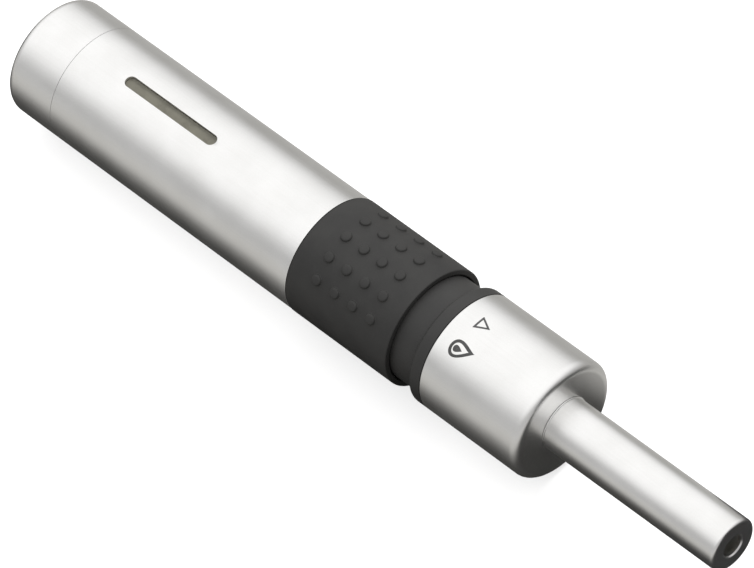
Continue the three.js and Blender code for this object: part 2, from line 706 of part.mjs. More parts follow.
// ---------------------------------------------------------------- neck core
function neckCore() {
  const shell = turned(
    [
      [lidFront + SEAM_GAP, bayRadius],
      [lidFront + SEAM_GAP, tankRadius],
      [tubeEnd, tankRadius],
      [tubeEnd, neckRadius],
      [flangeStart, neckRadius],
      [flangeStart, TUBE_RADIUS - FLANGE_EDGE],
      ...arc(flangeStart + FLANGE_EDGE, TUBE_RADIUS - FLANGE_EDGE, FLANGE_EDGE, 180, 90, 4),
      [flangeEnd, TUBE_RADIUS],
      [flangeEnd, spigotFrontRadius],
      [spigotEnd, spigotFrontRadius],
      [spigotEnd, cradleSeat],
      [cradleFront - CRADLE_FLANGE - SEAM_GAP, cradleSeat],
      [cradleFront - CRADLE_FLANGE - SEAM_GAP, bayRadius],
    ],
    LARGE,
  );
  const half = DRIVE_PIN_RADIUS + SLIDE_GAP;
  const slotRear = drivePinStation - half;
  const slotFront = drivePinStation + SLEEVE_TRAVEL + half;
  const pinSlot = block(slotRear, slotFront, -neckRadius - 1, neckRadius + 1, -half, half);
  return cut(shell, pinSlot, ...headScrewHoles());
}

// ---------------------------------------------------------------- head screws, hidden under the head
const headScrewStation = (coreRear + spigotEnd) / 2;

const headScrewAngles = Array.from({ length: HEAD_SCREWS }, (_, i) => (2 * Math.PI * i) / HEAD_SCREWS);

function headScrewHoles() {
  return headScrewAngles.map((angle) =>
    rodX(0, TUBE_RADIUS + 1, screwHole, SMALL)
      .rotateY(-Math.PI / 2)
      .rotateX(angle)
      .translate(headScrewStation, 0, 0),
  );
}

function headScrews(group) {
  headScrewAngles.forEach((angle, i) => {
    const length = spigotFrontRadius - nutRadius - FIT_GAP * 3;
    const screw = add(group, `head_screw_${i + 1}`, rodX(-length, 0, SCREW_SHANK, SMALL), steel);
    const height = spigotFrontRadius - SEAM_GAP;
    screw.rotation.set(angle, -Math.PI / 2, 0, "XYZ");
    screw.position.set(headScrewStation, -height * Math.sin(angle), height * Math.cos(angle));
  });
}

// ---------------------------------------------------------------- rubber sleeve and carriage
function studs() {
  const root = CARRIER_WALL - PIN_GAP; // how deep a stud is sunk into the sleeve
  const shoulder = STUD_HEIGHT * 0.45;
  const shape = () =>
    turned(
      [
        [-root, 0],
        [-root, STUD_RADIUS],
        [shoulder, STUD_RADIUS],
        [STUD_HEIGHT, STUD_RADIUS * 0.6],
        [STUD_HEIGHT, 0],
      ],
      8,
    );
  const made = [];
  for (let row = 0; row < STUD_ROWS; row++)
    for (let column = 0; column < STUD_COLUMNS; column++) {
      const angle = THREE.MathUtils.degToRad(STUD_ANGLE * (column - (STUD_COLUMNS - 1) / 2));
      made.push(
        shape()
          .translate(sleeveRadius, 0, 0)
          .rotateY(-Math.PI / 2)
          .rotateX(angle)
          .translate(sleeveStart + STUD_FROM_REAR + row * STUD_PITCH, 0, 0),
      );
    }
  return made;
}

function gripSleeve(group) {
  const rubberBore = carrierRadius + BOND_GAP;
  const lipBore = carrierBore + BOND_GAP;
  const lipRear = sleeveEnd - SLEEVE_LIP;
  const rubber = turned(
    [
      [sleeveStart, rubberBore],
      [sleeveStart, sleeveRadius],
      ...arc(sleeveEnd - LIP_EDGE, sleeveRadius - LIP_EDGE, LIP_EDGE, 90, 0, 4),
      [sleeveEnd, lipBore],
      [lipRear, lipBore],
      [lipRear, rubberBore],
    ],
    LARGE,
  );
  add(group, "grip_rubber", joined(rubber, ...studs()), blackRubber);
  const pinHole = rodY(
    -TUBE_RADIUS - 1, TUBE_RADIUS + 1, DRIVE_PIN_RADIUS + PIN_GAP, SMALL, drivePinStation, 0,
  );
  const carrier = ring(sleeveStart + SEAM_GAP, lipRear - SEAM_GAP, carrierBore, carrierRadius, LARGE);
  add(group, "grip_carrier", cut(carrier, pinHole), greyPlastic);
}

function carriage(group) {
  const outer = bayRadius - FIT_GAP;
  const inner = outer - SLIDER_WALL;
  const armTop = -LEVER_REACH - FIT_GAP * 2;
  const armBottom = -bayRadius + ARM_CLEAR;
  const hookFront = leverStation - LEVER_THICKNESS / 2 - LEVER_LOST_MOTION;
  const hookRear = hookFront - HOOK_THICKNESS;
  const hull = rodX(sliderStart, sliderEnd, outer, LARGE);
  const plateTop = piezoTop + FIT_GAP;
  const pushPlate = common(block(pushFace - PUSH_PLATE, pushFace, -outer, outer, -outer, plateTop), hull);
  const arm = block(hookRear, sliderStart + 1, -ARM_HALF, ARM_HALF, armBottom, armTop);
  const hookTop = -LEVER_REACH + HOOK_OVERLAP;
  const hook = block(hookRear, hookFront, -ARM_HALF, ARM_HALF, armBottom, hookTop);
  const pinHole = rodY(-outer - 1, outer + 1, DRIVE_PIN_RADIUS + PIN_GAP, SMALL, drivePinStation, 0);
  const body = joined(ring(sliderStart, sliderEnd, inner, outer, LARGE), pushPlate, arm, hook);
  add(group, "carriage", cut(body, pinHole), greyPlastic);
  for (const [name, side] of [["drive_pin_left", 1], ["drive_pin_right", -1]]) {
    const from = inner + SLIDE_GAP;
    const to = carrierRadius - SEAM_GAP;
    const pin = rodY(from, to, DRIVE_PIN_RADIUS, SMALL, 0, 0);
    const mesh = add(group, name, pin, steel);
    mesh.position.x = drivePinStation;
    if (side < 0) mesh.rotation.z = Math.PI;
  }
}

function returnSpring() {
  const front = cradleFront - CRADLE_FLANGE;
  return coil(sliderEnd, front, springRadius, SPRING_WIRE, SPRING_TURNS, 16, 3);
}

// ---------------------------------------------------------------- piezo igniter and its cradle
function igniter(group) {
  const slack = PIN_GAP * 1.5;
  const half = PIEZO_WIDTH / 2;
  const [y, top, bottom] = [half - PIEZO_WALL, piezoTop - PIEZO_WALL, piezoBottom + PIEZO_WALL];
  const pocketFront = piezoRear + SLEEVE_TRAVEL * 2 + PIEZO_SPARE;
  const pocket = block(piezoRear - 1, pocketFront, -y, y, bottom, top);
  const caseBlock = block(piezoRear, piezoFront, -half, half, piezoBottom, piezoTop);
  add(group, "piezo_case", cut(caseBlock, pocket), blackPlastic);
  const plungerRear = pushFace + SEAM_GAP;
  const plungerFront = pocketFront - SLEEVE_TRAVEL - PIEZO_SPARE;
  const [side, high, low] = [y - slack, top - slack, bottom + slack];
  add(group, "piezo_plunger", block(plungerRear, plungerFront, -side, side, low, high), ceramic);
  const terminalFront = cradleFront - SEAM_GAP;
  const terminal = rodX(piezoFront + SEAM_GAP, terminalFront, TERMINAL_RADIUS, SMALL, 0, piezoMiddle);
  add(group, "piezo_terminal", terminal, brass);

  const room = half + slack;
  const wall = room + CRADLE_WALL;
  const floor = piezoBottom - slack;
  const channelRear = piezoRear + CRADLE_FROM_REAR;
  const flangeRear = cradleFront - CRADLE_FLANGE;
  const [before, after] = [flangeRear - 1, cradleFront + 1];
  const flange = rodX(flangeRear, cradleFront, cradleSeat - SEAM_GAP, LARGE);
  const channelTop = piezoMiddle + 1;
  const channel = block(channelRear, flangeRear + 0.5, -wall, wall, floor - CRADLE_WALL, channelTop);
  const trough = block(channelRear - 1, flangeRear - SEAM_GAP / 2, -room, room, floor, 0);
  const hoseHole = rodX(before, after, HOSE_RADIUS + FIT_GAP, MEDIUM);
  const terminalHole = rodX(before, after, TERMINAL_RADIUS + FIT_GAP, SMALL, 0, piezoMiddle);
  const stripBottom = piezoBottom + STRIP.rise;
  const stripTop = stripBottom + STRIP.thickness;
  const stripHole = block(
    before, after, STRIP.inner - FIT_GAP, STRIP.outer + FIT_GAP, stripBottom - FIT_GAP, stripTop + FIT_GAP,
  );
  const cradle = cut(joined(flange, channel), trough, hoseHole, terminalHole, stripHole);
  add(group, "piezo_cradle", cradle, blackPlastic);
  const stripFront = barrelNutRear - SEAM_GAP;
  const strip = block(piezoFront + SEAM_GAP, stripFront, STRIP.inner, STRIP.outer, stripBottom, stripTop);
  add(group, "earth_strip", strip, brass);
}

// ---------------------------------------------------------------- head and barrel
const nutRecess = barrelRear + BARREL_FLANGE + SEAM_GAP;
const barrelNutRear = barrelRear - SEAM_GAP - NUT_LENGTH;

function head(group) {
  const hole = BARREL_RADIUS + PIN_GAP * 1.5;
  const shell = turned(
    [
      [headStart, tubeBore],
      [headStart, TUBE_RADIUS],
      ...arc(headEnd - HEAD_EDGE, TUBE_RADIUS - HEAD_EDGE, HEAD_EDGE, 90, 0),
      [headEnd, hole],
      [headEnd - HEAD_END_WALL, hole],
      [headEnd - HEAD_END_WALL, tubeBore - HEAD_EDGE + HEAD_END_WALL],
      [headEnd - HEAD_EDGE, tubeBore],
    ],
    LARGE,
  );
  add(group, "head_shell", shell, satinMetal);
  const shoulder = spigotEnd + SEAM_GAP;
  const core = turned(
    [
      [coreRear, nutRadius + FIT_GAP],
      [coreRear, cradleSeat - FIT_GAP],
      [shoulder, cradleSeat - FIT_GAP],
      [shoulder, tubeBore - FIT_GAP],
      [coreFront - HEAD_EDGE, tubeBore - FIT_GAP],
      [coreFront, tubeBore - FIT_GAP - HEAD_EDGE],
      [coreFront, hole],
      [nutRecess, hole],
      [nutRecess, nutRadius + FIT_GAP],
    ],
    LARGE,
  );
  add(group, "head_core", cut(core, ...headScrewHoles()), blackPlastic);
  const barrel = turned(
    [
      [barrelRear, barrelBore],
      [barrelRear, BARREL_RADIUS + BARREL_FLANGE_STEP],
      [barrelRear + BARREL_FLANGE, BARREL_RADIUS + BARREL_FLANGE_STEP],
      [barrelRear + BARREL_FLANGE, BARREL_RADIUS],
      ...arc(tip - BARREL_EDGE, BARREL_RADIUS - BARREL_EDGE, BARREL_EDGE, 90, 0),
      [tip, MUZZLE_RADIUS + MUZZLE_CHAMFER],
      [tip - MUZZLE_CHAMFER, MUZZLE_RADIUS],
      [tip - TIP_WALL, MUZZLE_RADIUS],
      [tip - TIP_WALL, barrelBore],
    ],
    MEDIUM,
  );
  add(group, "barrel", barrel, satinMetal);
  const nut = ring(barrelNutRear, barrelRear - SEAM_GAP, barrelBore - NUT_LIP, nutRadius, MEDIUM);
  add(group, "barrel_nut", nut, brass);
}

// ---------------------------------------------------------------- gas hose, lead, jet and electrode
const hoseRear = collarFront + STEM_LIFT + SEAM_GAP;
const hoseFront = jetRear - SEAM_GAP;
const leadStart = cradleFront + SEAM_GAP;
const leadEnd = jetRear - SEAM_GAP;
const leadLow = barrelNutRear - SEAM_GAP - LEAD_BEND;

function flameEnd(group) {
  const axis = new THREE.LineCurve3(new THREE.Vector3(hoseRear, 0, 0), new THREE.Vector3(hoseFront, 0, 0));
  add(group, "gas_hose", drawn(axis, HOSE_RADIUS, HOSE_BORE, 1, 6), silicone);
  const route = new THREE.CatmullRomCurve3(
    [
      [leadStart, piezoMiddle],
      [leadStart + LEAD_BEND / 2, piezoMiddle],
      [leadLow, (piezoMiddle + leadHeight) / 2],
      [leadLow + LEAD_BEND, leadHeight],
      [(leadLow + leadEnd) / 2, leadHeight],
      [leadEnd - LEAD_BEND, leadHeight],
      [leadEnd, leadHeight],
    ].map(([x, z]) => new THREE.Vector3(x, 0, z)),
  );
  add(group, "ignition_lead", drawn(route, LEAD_RADIUS, 0, 24, 4), redInsulation);

  const holderRear = jetRear + (JET_LENGTH - JET_HOLDER_LENGTH) / 2;
  const holderFront = holderRear + JET_HOLDER_LENGTH;
  const [before, after] = [holderRear - 1, holderFront + 1];
  const holder = cut(
    rodX(holderRear, holderFront, barrelBore - SEAM_GAP, MEDIUM),
    rodX(before, after, JET_RADIUS + PIN_GAP, MEDIUM),
    rodX(before, after, ELECTRODE_RADIUS + PIN_GAP, SMALL, 0, leadHeight),
    ...[-1, 0, 1].map((side) => {
      const a = THREE.MathUtils.degToRad(side * AIR_HOLE.angle);
      const [y, z] = [AIR_HOLE.circle * Math.sin(a), AIR_HOLE.circle * Math.cos(a)];
      return rodX(before, after, AIR_HOLE.radius, SMALL, y, z);
    }),
  );
  add(group, "jet_holder", holder, ceramic);
  const tailRadius = HOSE_BORE - PIN_GAP * 1.5;
  const taper = JET_RADIUS * 0.4;
  const jet = turned(
    [
      [jetRear - JET_TAIL, JET_BORE],
      [jetRear - JET_TAIL, tailRadius],
      [jetRear, tailRadius],
      [jetRear, JET_RADIUS],
      [jetFront - taper, JET_RADIUS],
      [jetFront, JET_RADIUS - taper],
      [jetFront, JET_BORE],
    ],
    SMALL,
  );
  add(group, "burner_jet", jet, brass);
  const wire = new THREE.CatmullRomCurve3(
    [
      [leadEnd + SEAM_GAP, leadHeight],
      [jetFront - 1, leadHeight],
      [jetFront + ELECTRODE_REACH * 0.4, leadHeight + ELECTRODE_RISE / 8],
      [jetFront + ELECTRODE_REACH, leadHeight + ELECTRODE_RISE],
    ].map(([x, z]) => new THREE.Vector3(x, 0, z)),
  );
  add(group, "electrode", drawn(wire, ELECTRODE_RADIUS, 0, 10, 3), steel);
}

// ---------------------------------------------------------------- the lighter
const lighter = new THREE.Group();

const cap = rearCap();
lighter.add(cap);

const handle = new THREE.Group();
bodyTube(handle);
add(handle, "fuel_tank", fuelTank(), smokedPlastic);
add(handle, "tank_lid", tankLid(), greyPlastic);
add(handle, "cap_seal", seal(capSealStation, linerBore), sealRubber);
add(handle, "lid_seal", seal(lidSealStation, tankCavity), sealRubber);
fillerValve(handle);
flameAdjuster(handle);
outletValve(handle);
add(handle, "valve_lever", valveLever(), steel);
leverBracket(handle);
lighter.add(handle);

const front = new THREE.Group();
add(front, "neck_core", neckCore(), blackPlastic);
gripSleeve(front);
carriage(front);
add(front, "return_spring", returnSpring(), steel);
igniter(front);
head(front);
headScrews(front);
flameEnd(front);
lighter.add(front);

// The origin is under the middle of the length, on the surface that the sleeve's lowest facet lies on.
lighter.position.set(-tip / 2, 0, sleeveRadius * Math.cos(Math.PI / LARGE));

export default lighter;
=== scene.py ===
# %% [markdown]
# # A kitchen gas lighter, drawn round its engineering model
# The lighter lies on a pale table. Its engineering model is loaded first and never moved. Every
# piece that shows is then made again with a fine, smooth surface, because the model's round parts
# are made of flat facets, and each finish is a small network of nodes.

import json
import math

import bmesh
import bpy
from mathutils import Matrix, Vector

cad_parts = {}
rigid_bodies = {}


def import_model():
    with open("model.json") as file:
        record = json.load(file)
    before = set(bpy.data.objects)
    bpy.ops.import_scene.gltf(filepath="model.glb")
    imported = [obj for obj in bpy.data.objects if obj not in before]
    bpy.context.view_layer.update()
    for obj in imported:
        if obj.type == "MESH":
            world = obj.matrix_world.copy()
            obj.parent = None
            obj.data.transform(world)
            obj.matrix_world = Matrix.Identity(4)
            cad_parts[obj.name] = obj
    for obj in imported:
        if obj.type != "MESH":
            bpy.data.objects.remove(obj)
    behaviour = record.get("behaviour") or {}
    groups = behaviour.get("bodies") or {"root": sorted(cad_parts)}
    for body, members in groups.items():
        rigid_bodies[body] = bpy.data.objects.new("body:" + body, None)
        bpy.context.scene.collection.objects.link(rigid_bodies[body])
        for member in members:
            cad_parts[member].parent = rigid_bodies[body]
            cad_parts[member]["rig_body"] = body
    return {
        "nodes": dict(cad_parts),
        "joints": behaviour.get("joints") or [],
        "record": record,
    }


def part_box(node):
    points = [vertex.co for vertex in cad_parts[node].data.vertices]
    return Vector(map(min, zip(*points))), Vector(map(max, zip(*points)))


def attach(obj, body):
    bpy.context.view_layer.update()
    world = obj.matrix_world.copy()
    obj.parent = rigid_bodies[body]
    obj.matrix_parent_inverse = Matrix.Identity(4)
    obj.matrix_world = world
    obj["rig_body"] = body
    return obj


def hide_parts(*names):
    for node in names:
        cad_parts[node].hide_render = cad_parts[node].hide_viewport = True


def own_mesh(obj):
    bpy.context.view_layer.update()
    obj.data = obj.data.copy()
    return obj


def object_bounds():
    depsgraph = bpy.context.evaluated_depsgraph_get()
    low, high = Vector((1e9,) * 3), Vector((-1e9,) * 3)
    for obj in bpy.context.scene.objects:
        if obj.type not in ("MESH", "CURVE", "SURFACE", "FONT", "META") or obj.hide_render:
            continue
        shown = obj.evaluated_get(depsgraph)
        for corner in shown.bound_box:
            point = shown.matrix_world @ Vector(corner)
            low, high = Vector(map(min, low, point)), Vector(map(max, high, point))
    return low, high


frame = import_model()
cad_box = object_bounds()
nodes = frame["nodes"]
MM = 0.001
low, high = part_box("barrel")
AXIS_HEIGHT = (low.z + high.z) / 2
print("axis of the lighter:", round(AXIS_HEIGHT / MM, 3), "mm over the table")

# %% [markdown]
# ## The camera
# A small object is best shown with a long lens from far away, which keeps its sides nearly
# parallel. The camera is placed by what it looks at, the direction that it looks from, its distance
# and a roll, and these become one matrix whose columns are the camera's right, up and back
# directions.

# %% Camera
LENS = 306.9
SENSOR = 36
LOOK_FROM = (59.0, 55.3)  # azimuth and elevation, in degrees
ROLL = -17.9
DISTANCE = 1437 * MM
AIM = (10.1, 2.5, -5.1)  # from the axis at the sleeve's rear end, in millimetres
FAR_CLIP = 20
sleeve_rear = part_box("grip_rubber")[0].x
look_at = Vector((sleeve_rear, 0, AXIS_HEIGHT)) + Vector(AIM) * MM


def camera_matrix(target, direction, distance, roll):
    azimuth, elevation = (math.radians(angle) for angle in direction)
    flat = math.cos(elevation)
    back = Vector((math.sin(azimuth) * flat, -math.cos(azimuth) * flat, math.sin(elevation)))
    right = Vector((math.cos(azimuth), math.sin(azimuth), 0))
    turn = Matrix((right, back.cross(right), back)).transposed()
    turn = turn @ Matrix.Rotation(math.radians(roll), 3, "Z")
    return Matrix.LocRotScale(target + back * distance, turn, None)


camera = bpy.data.objects.new("camera", bpy.data.cameras.new("camera"))
camera.data.lens = LENS
camera.data.sensor_width = SENSOR
camera.data.clip_end = FAR_CLIP
camera.matrix_world = camera_matrix(look_at, LOOK_FROM, DISTANCE, ROLL)
bpy.context.scene.collection.objects.link(camera)
bpy.context.scene.camera = camera
bpy.context.scene.view_settings.view_transform = "Standard"
print("camera stands", [round(v, 3) for v in camera.location], "m from the origin")

# %% [markdown]
# ## The sky
# Satin metal has hardly any colour of its own, so it shows what surrounds it. A sky that changes
# smoothly with direction stands for a large white tent, bright overhead and greyer towards the
# horizon. A world shader does this with no tent to model: the direction's height goes through a
# colour ramp, and the camera sees one flat pale grey instead.

# %% Sky
SKY_TILT = (-0.15, 0.25, 1.0)  # the tent is brighter to the back and to the left of the lighter
SKY_STOPS = [  # height in the tilted sky, and brightness
    (-0.30, 0.60),
    (-0.10, 0.55),
    (0.14, 0.46),
    (0.34, 0.63),
    (0.51, 0.89),
    (0.66, 1.05),
    (0.80, 1.11),
    (1.0, 1.12),
]
SKY_TINT = (1.0, 0.998, 0.994)
SKY_SEEN = 0.93
MIX_FIRST, MIX_SECOND, MIX_RESULT = 6, 7, 2  # the colour sockets of a Mix node


def fill_ramp(ramp, stops):
    """Gives a colour ramp its stops, each a position and a colour."""
    while len(ramp.elements) < len(stops):
        ramp.elements.new(1)
    for element, (where, colour) in zip(ramp.elements, stops):
        element.position = where
        element.color = (*colour, 1)


def sky():
    world = bpy.data.worlds.new("tent")
    world.use_nodes = True
    tree = world.node_tree
    tree.nodes.clear()
    link = tree.links.new
    place = tree.nodes.new("ShaderNodeTexCoord")
    height = tree.nodes.new("ShaderNodeVectorMath")
    height.operation = "DOT_PRODUCT"
    height.inputs[1].default_value = SKY_TILT
    link(place.outputs["Generated"], height.inputs[0])
    onto = tree.nodes.new("ShaderNodeMapRange")
    onto.inputs["From Min"].default_value = -1
    link(height.outputs["Value"], onto.inputs["Value"])
    ramp = tree.nodes.new("ShaderNodeValToRGB")
    ramp.color_ramp.interpolation = "EASE"
    stops = [((up + 1) / 2, [bright * tint for tint in SKY_TINT]) for up, bright in SKY_STOPS]
    fill_ramp(ramp.color_ramp, stops)
    link(onto.outputs["Result"], ramp.inputs["Fac"])
    ray = tree.nodes.new("ShaderNodeLightPath")
    mix = tree.nodes.new("ShaderNodeMix")
    mix.data_type = "RGBA"
    link(ramp.outputs["Color"], mix.inputs[MIX_FIRST])
    mix.inputs[MIX_SECOND].default_value = (SKY_SEEN, SKY_SEEN, SKY_SEEN, 1)
    link(ray.outputs["Is Camera Ray"], mix.inputs["Factor"])
    shade = tree.nodes.new("ShaderNodeBackground")
    link(mix.outputs[MIX_RESULT], shade.inputs["Color"])
    out = tree.nodes.new("ShaderNodeOutputWorld")
    link(shade.outputs["Background"], out.inputs["Surface"])
    return world


bpy.context.scene.world = sky()
print("sky:", len(SKY_STOPS), "stops of brightness")

# %% [markdown]
# ## A black card
# A metal edge looks crisp when it mirrors something dark. A bent card of one dull black, ahead of
# the head, gives the front edges of the head and the barrel that dark line. It is a studio trick
# and no part of the lighter: only reflections see it, and the camera and the shadows don't.

# %% Black card
CARD_FROM_HEAD = 28
CARD_LENGTH = 220
CARD_HEIGHT = 95
CARD_SIDES = (-25, 90)
CARD_LIFT = 0.3  # over the table, so that the two don't share a plane
CARD_GREY = 0.03


def black_card():
    """Lies on the table ahead of the head and stands up at its far end. Only reflections see it."""
    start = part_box("head_shell")[1].x + CARD_FROM_HEAD * MM
    stop = start + CARD_LENGTH * MM
    left, right = (side * MM for side in CARD_SIDES)
    sheet = bmesh.new()
    edge = [sheet.verts.new((start, y, CARD_LIFT * MM)) for y in (left, right)]
    edges = [sheet.edges.new(edge)]
    for step in (Vector((stop - start, 0, 0)), Vector((0, 0, CARD_HEIGHT * MM))):
        made = bmesh.ops.extrude_edge_only(sheet, edges=edges)["geom"]
        edges = [g for g in made if isinstance(g, bmesh.types.BMEdge)]
        verts = [g for g in made if isinstance(g, bmesh.types.BMVert)]
        bmesh.ops.translate(sheet, verts=verts, vec=step)
        edges = [e for e in edges if all(v in verts for v in e.verts)]
    mesh = bpy.data.meshes.new("black_card")
    sheet.to_mesh(mesh)
    sheet.free()
    finish = bpy.data.materials.new("black_card")
    finish.use_nodes = True
    tree = finish.node_tree
    dark = tree.nodes.new("ShaderNodeEmission")
    dark.inputs["Color"].default_value = (CARD_GREY, CARD_GREY, CARD_GREY, 1)
    tree.links.new(dark.outputs["Emission"], tree.nodes["Material Output"].inputs["Surface"])
    mesh.materials.append(finish)
    card = bpy.data.objects.new("black_card", mesh)
    bpy.context.scene.collection.objects.link(card)
    card.visible_camera = card.visible_diffuse = card.visible_shadow = False


black_card()
print("black card:", CARD_LENGTH, "mm long and", CARD_HEIGHT, "mm high")

# %% [markdown]
# ## A soft lamp
# The sky alone leaves the studs flat. One round lamp behind the lighter shapes the matt parts, and
# reflections don't see it, so no hot spot shows on the metal.

# %% Lamp
LAMP_FROM = (0.08, 0.78, 0.62)
LAMP_DISTANCE = 1.2
LAMP_SIZE = 0.35
LAMP_WATTS = 8


def lamp(name, direction, distance, size, watts):
    light = bpy.data.lights.new(name, "AREA")
    light.shape = "DISK"
    light.size = size
    light.energy = watts
    holder = bpy.data.objects.new(name, light)
    away = Vector(direction).normalized()
    holder.matrix_world = Matrix.LocRotScale(away * distance, away.to_track_quat("Z", "Y"), None)
    bpy.context.scene.collection.objects.link(holder)
    holder.visible_glossy = False
    return holder


lamp("soft_lamp", LAMP_FROM, LAMP_DISTANCE, LAMP_SIZE, LAMP_WATTS)
print("lamp:", LAMP_WATTS, "W")

# %% [markdown]
# ## The table
# The table has two finishes. To the eye it is nearly white, as a lit sweep is. To the lighter it is
# a glowing mid grey with painted light and shade: a painted shadow, a soft dark strip along it
# where the lighter lies, and a painted lit band beside it. The painted shadow darkens the underside
# of the metal in its reflections, and the glow lights the lighter from below in place of real
# bounce light.
# A Mix Shader chooses between them by whether the camera is looking.

# %% Table
FLOOR_SIZE = 8
FLOOR_COLOUR = (0.60, 0.60, 0.60, 1)
FLOOR_GLOW = 0.66
FLOOR_ROUGHNESS = 0.9
FLOOR_SHINE = 0.1
FLOOR_TINT = (1.0, 0.985, 0.94)
# Painted light and shade, seen only by reflections and bounce light: the dark stops from -40 to 14
# mm are a painted shadow under the lighter, and the bright stops from 18 to 34 mm are a painted lit
# band.
FLOOR_PAINTED_LIGHT_AND_SHADE = [  # millimetres across the lighter, and brightness to the lighter
    (-75, 0.58),
    (-60, 0.47),
    (-40, 0.18),
    (-25, 0.045),
    (-8, 0.035),
    (4, 0.04),
    (14, 0.05),
    (18, 0.30),
    (23, 0.52),
    (34, 0.46),
    (75, 0.38),
]


def table_top():
    finish = bpy.data.materials.new("table_top")
    finish.use_nodes = True
    tree = finish.node_tree
    seen = tree.nodes["Principled BSDF"]
    seen.inputs["Base Color"].default_value = FLOOR_COLOUR
    seen.inputs["Emission Color"].default_value = (1, 1, 1, 1)
    seen.inputs["Emission Strength"].default_value = FLOOR_GLOW
    seen.inputs["Roughness"].default_value = FLOOR_ROUGHNESS
    seen.inputs["Specular IOR Level"].default_value = FLOOR_SHINE
    place = tree.nodes.new("ShaderNodeTexCoord")
    split = tree.nodes.new("ShaderNodeSeparateXYZ")
    across = tree.nodes.new("ShaderNodeMapRange")
    first, last = FLOOR_PAINTED_LIGHT_AND_SHADE[0][0], FLOOR_PAINTED_LIGHT_AND_SHADE[-1][0]
    across.inputs["From Min"].default_value = first * MM
    across.inputs["From Max"].default_value = last * MM
    painted_light_and_shade_ramp = tree.nodes.new("ShaderNodeValToRGB")
    stops = [
        ((where - first) / (last - first), [bright * tint for tint in FLOOR_TINT])
        for where, bright in FLOOR_PAINTED_LIGHT_AND_SHADE
    ]
    fill_ramp(painted_light_and_shade_ramp.color_ramp, stops)
    # Every ray but the camera's sees this Emission, so the painted light and shade glows in place
    # of real shadow and bounce light.
    painted_light_and_shade_glow = tree.nodes.new("ShaderNodeEmission")
    ray = tree.nodes.new("ShaderNodeLightPath")
    mix = tree.nodes.new("ShaderNodeMixShader")
    link = tree.links.new
    link(place.outputs["Object"], split.inputs["Vector"])
    link(split.outputs["Y"], across.inputs["Value"])
    link(across.outputs["Result"], painted_light_and_shade_ramp.inputs["Fac"])
    link(painted_light_and_shade_ramp.outputs["Color"], painted_light_and_shade_glow.inputs["Color"])
    link(ray.outputs["Is Camera Ray"], mix.inputs["Fac"])
    link(painted_light_and_shade_glow.outputs["Emission"], mix.inputs[1])
    link(seen.outputs["BSDF"], mix.inputs[2])
    link(mix.outputs["Shader"], tree.nodes["Material Output"].inputs["Surface"])
    return finish


bpy.ops.mesh.primitive_plane_add(size=FLOOR_SIZE)
floor = bpy.context.object
floor.name = "floor"
floor.data.materials.append(table_top())
print("table:", FLOOR_SIZE, "m across")

# %% [markdown]
# ## Writing shader maths as sums
# Most finishes mix a few noises. Wrapping a node's output in a small class lets an ordinary Python
# expression add the Math nodes that it needs, which keeps each finish a few lines long.

# %% A value that can be added and multiplied
class Value:
    def __init__(self, finish, socket):
        self.finish = finish
        self.socket = socket

    def math(self, operation, a, b):
        return self.finish.node("ShaderNodeMath", {"operation": operation}, {0: a, 1: b})

    def __add__(self, other):
        return self.math("ADD", self, other)

    def __radd__(self, other):
        return self.math("ADD", other, self)

    def __mul__(self, other):
        return self.math("MULTIPLY", self, other)

    def __rmul__(self, other):
        return self.math("MULTIPLY", other, self)


# %% A finish, and the one method that adds its nodes
class Finish:
    def __init__(self, name, **numbers):
        self.material = bpy.data.materials.new(name)
        self.material.use_nodes = True
        self.tree = self.material.node_tree
        self.surface = self.tree.nodes["Principled BSDF"]
        for socket, value in numbers.items():
            self.surface.inputs[socket.replace("_", " ")].default_value = value

    def node(self, kind, settings, sockets, output=0):
        made = self.tree.nodes.new(kind)
        for key, value in settings.items():
            setattr(made, key, value)
        for key, value in sockets.items():
            if isinstance(value, Value):
                self.tree.links.new(value.socket, made.inputs[key])
            else:
                made.inputs[key].default_value = value
        return Value(self, made.outputs[output])

    def ramp(self, value, stops):
        made = self.tree.nodes.new("ShaderNodeValToRGB")
        self.tree.links.new(value.socket, made.inputs["Fac"])
        fill_ramp(made.color_ramp, stops)
        return Value(self, made.outputs["Color"])

    def place(self, stretch=(1, 1, 1)):
        """Object coordinates, squeezed along each axis by stretch."""
        own = self.node("ShaderNodeTexCoord", {}, {}, "Object")
        if stretch == (1, 1, 1):
            return own
        return self.node("ShaderNodeMapping", {}, {"Vector": own, "Scale": stretch})

    def noise(self, size, detail=3, roughness=0.5, stretch=(1, 1, 1)):
        """Cloudy values round 0.5 whose blots are about size across, in millimetres."""
        sockets = {
            "Vector": self.place(stretch),
            "Scale": 1 / (size * MM),
            "Detail": detail,
            "Roughness": roughness,
        }
        return self.node("ShaderNodeTexNoise", {}, sockets, "Fac")

    def bump(self, height, depth, strength=1.0):
        sockets = {"Height": height, "Distance": depth * MM, "Strength": strength}
        self.feed("Normal", self.node("ShaderNodeBump", {}, sockets))

    def feed(self, socket, value):
        self.tree.links.new(value.socket, self.surface.inputs[socket])


print("a finish has these helpers:", [name for name in vars(Finish) if not name.startswith("_")])


# %% [markdown]
# ## Satin metal
# The tubes are steel, blasted to a satin that is even in every direction. Three things keep it from
# looking like grey paint: a grain too fine to see singly, which softens the reflections, roughness
# that drifts a little over centimetres as hands leave it, and very faint lengthwise marks from
# the drawing of the tube. The tone is a warm silver.

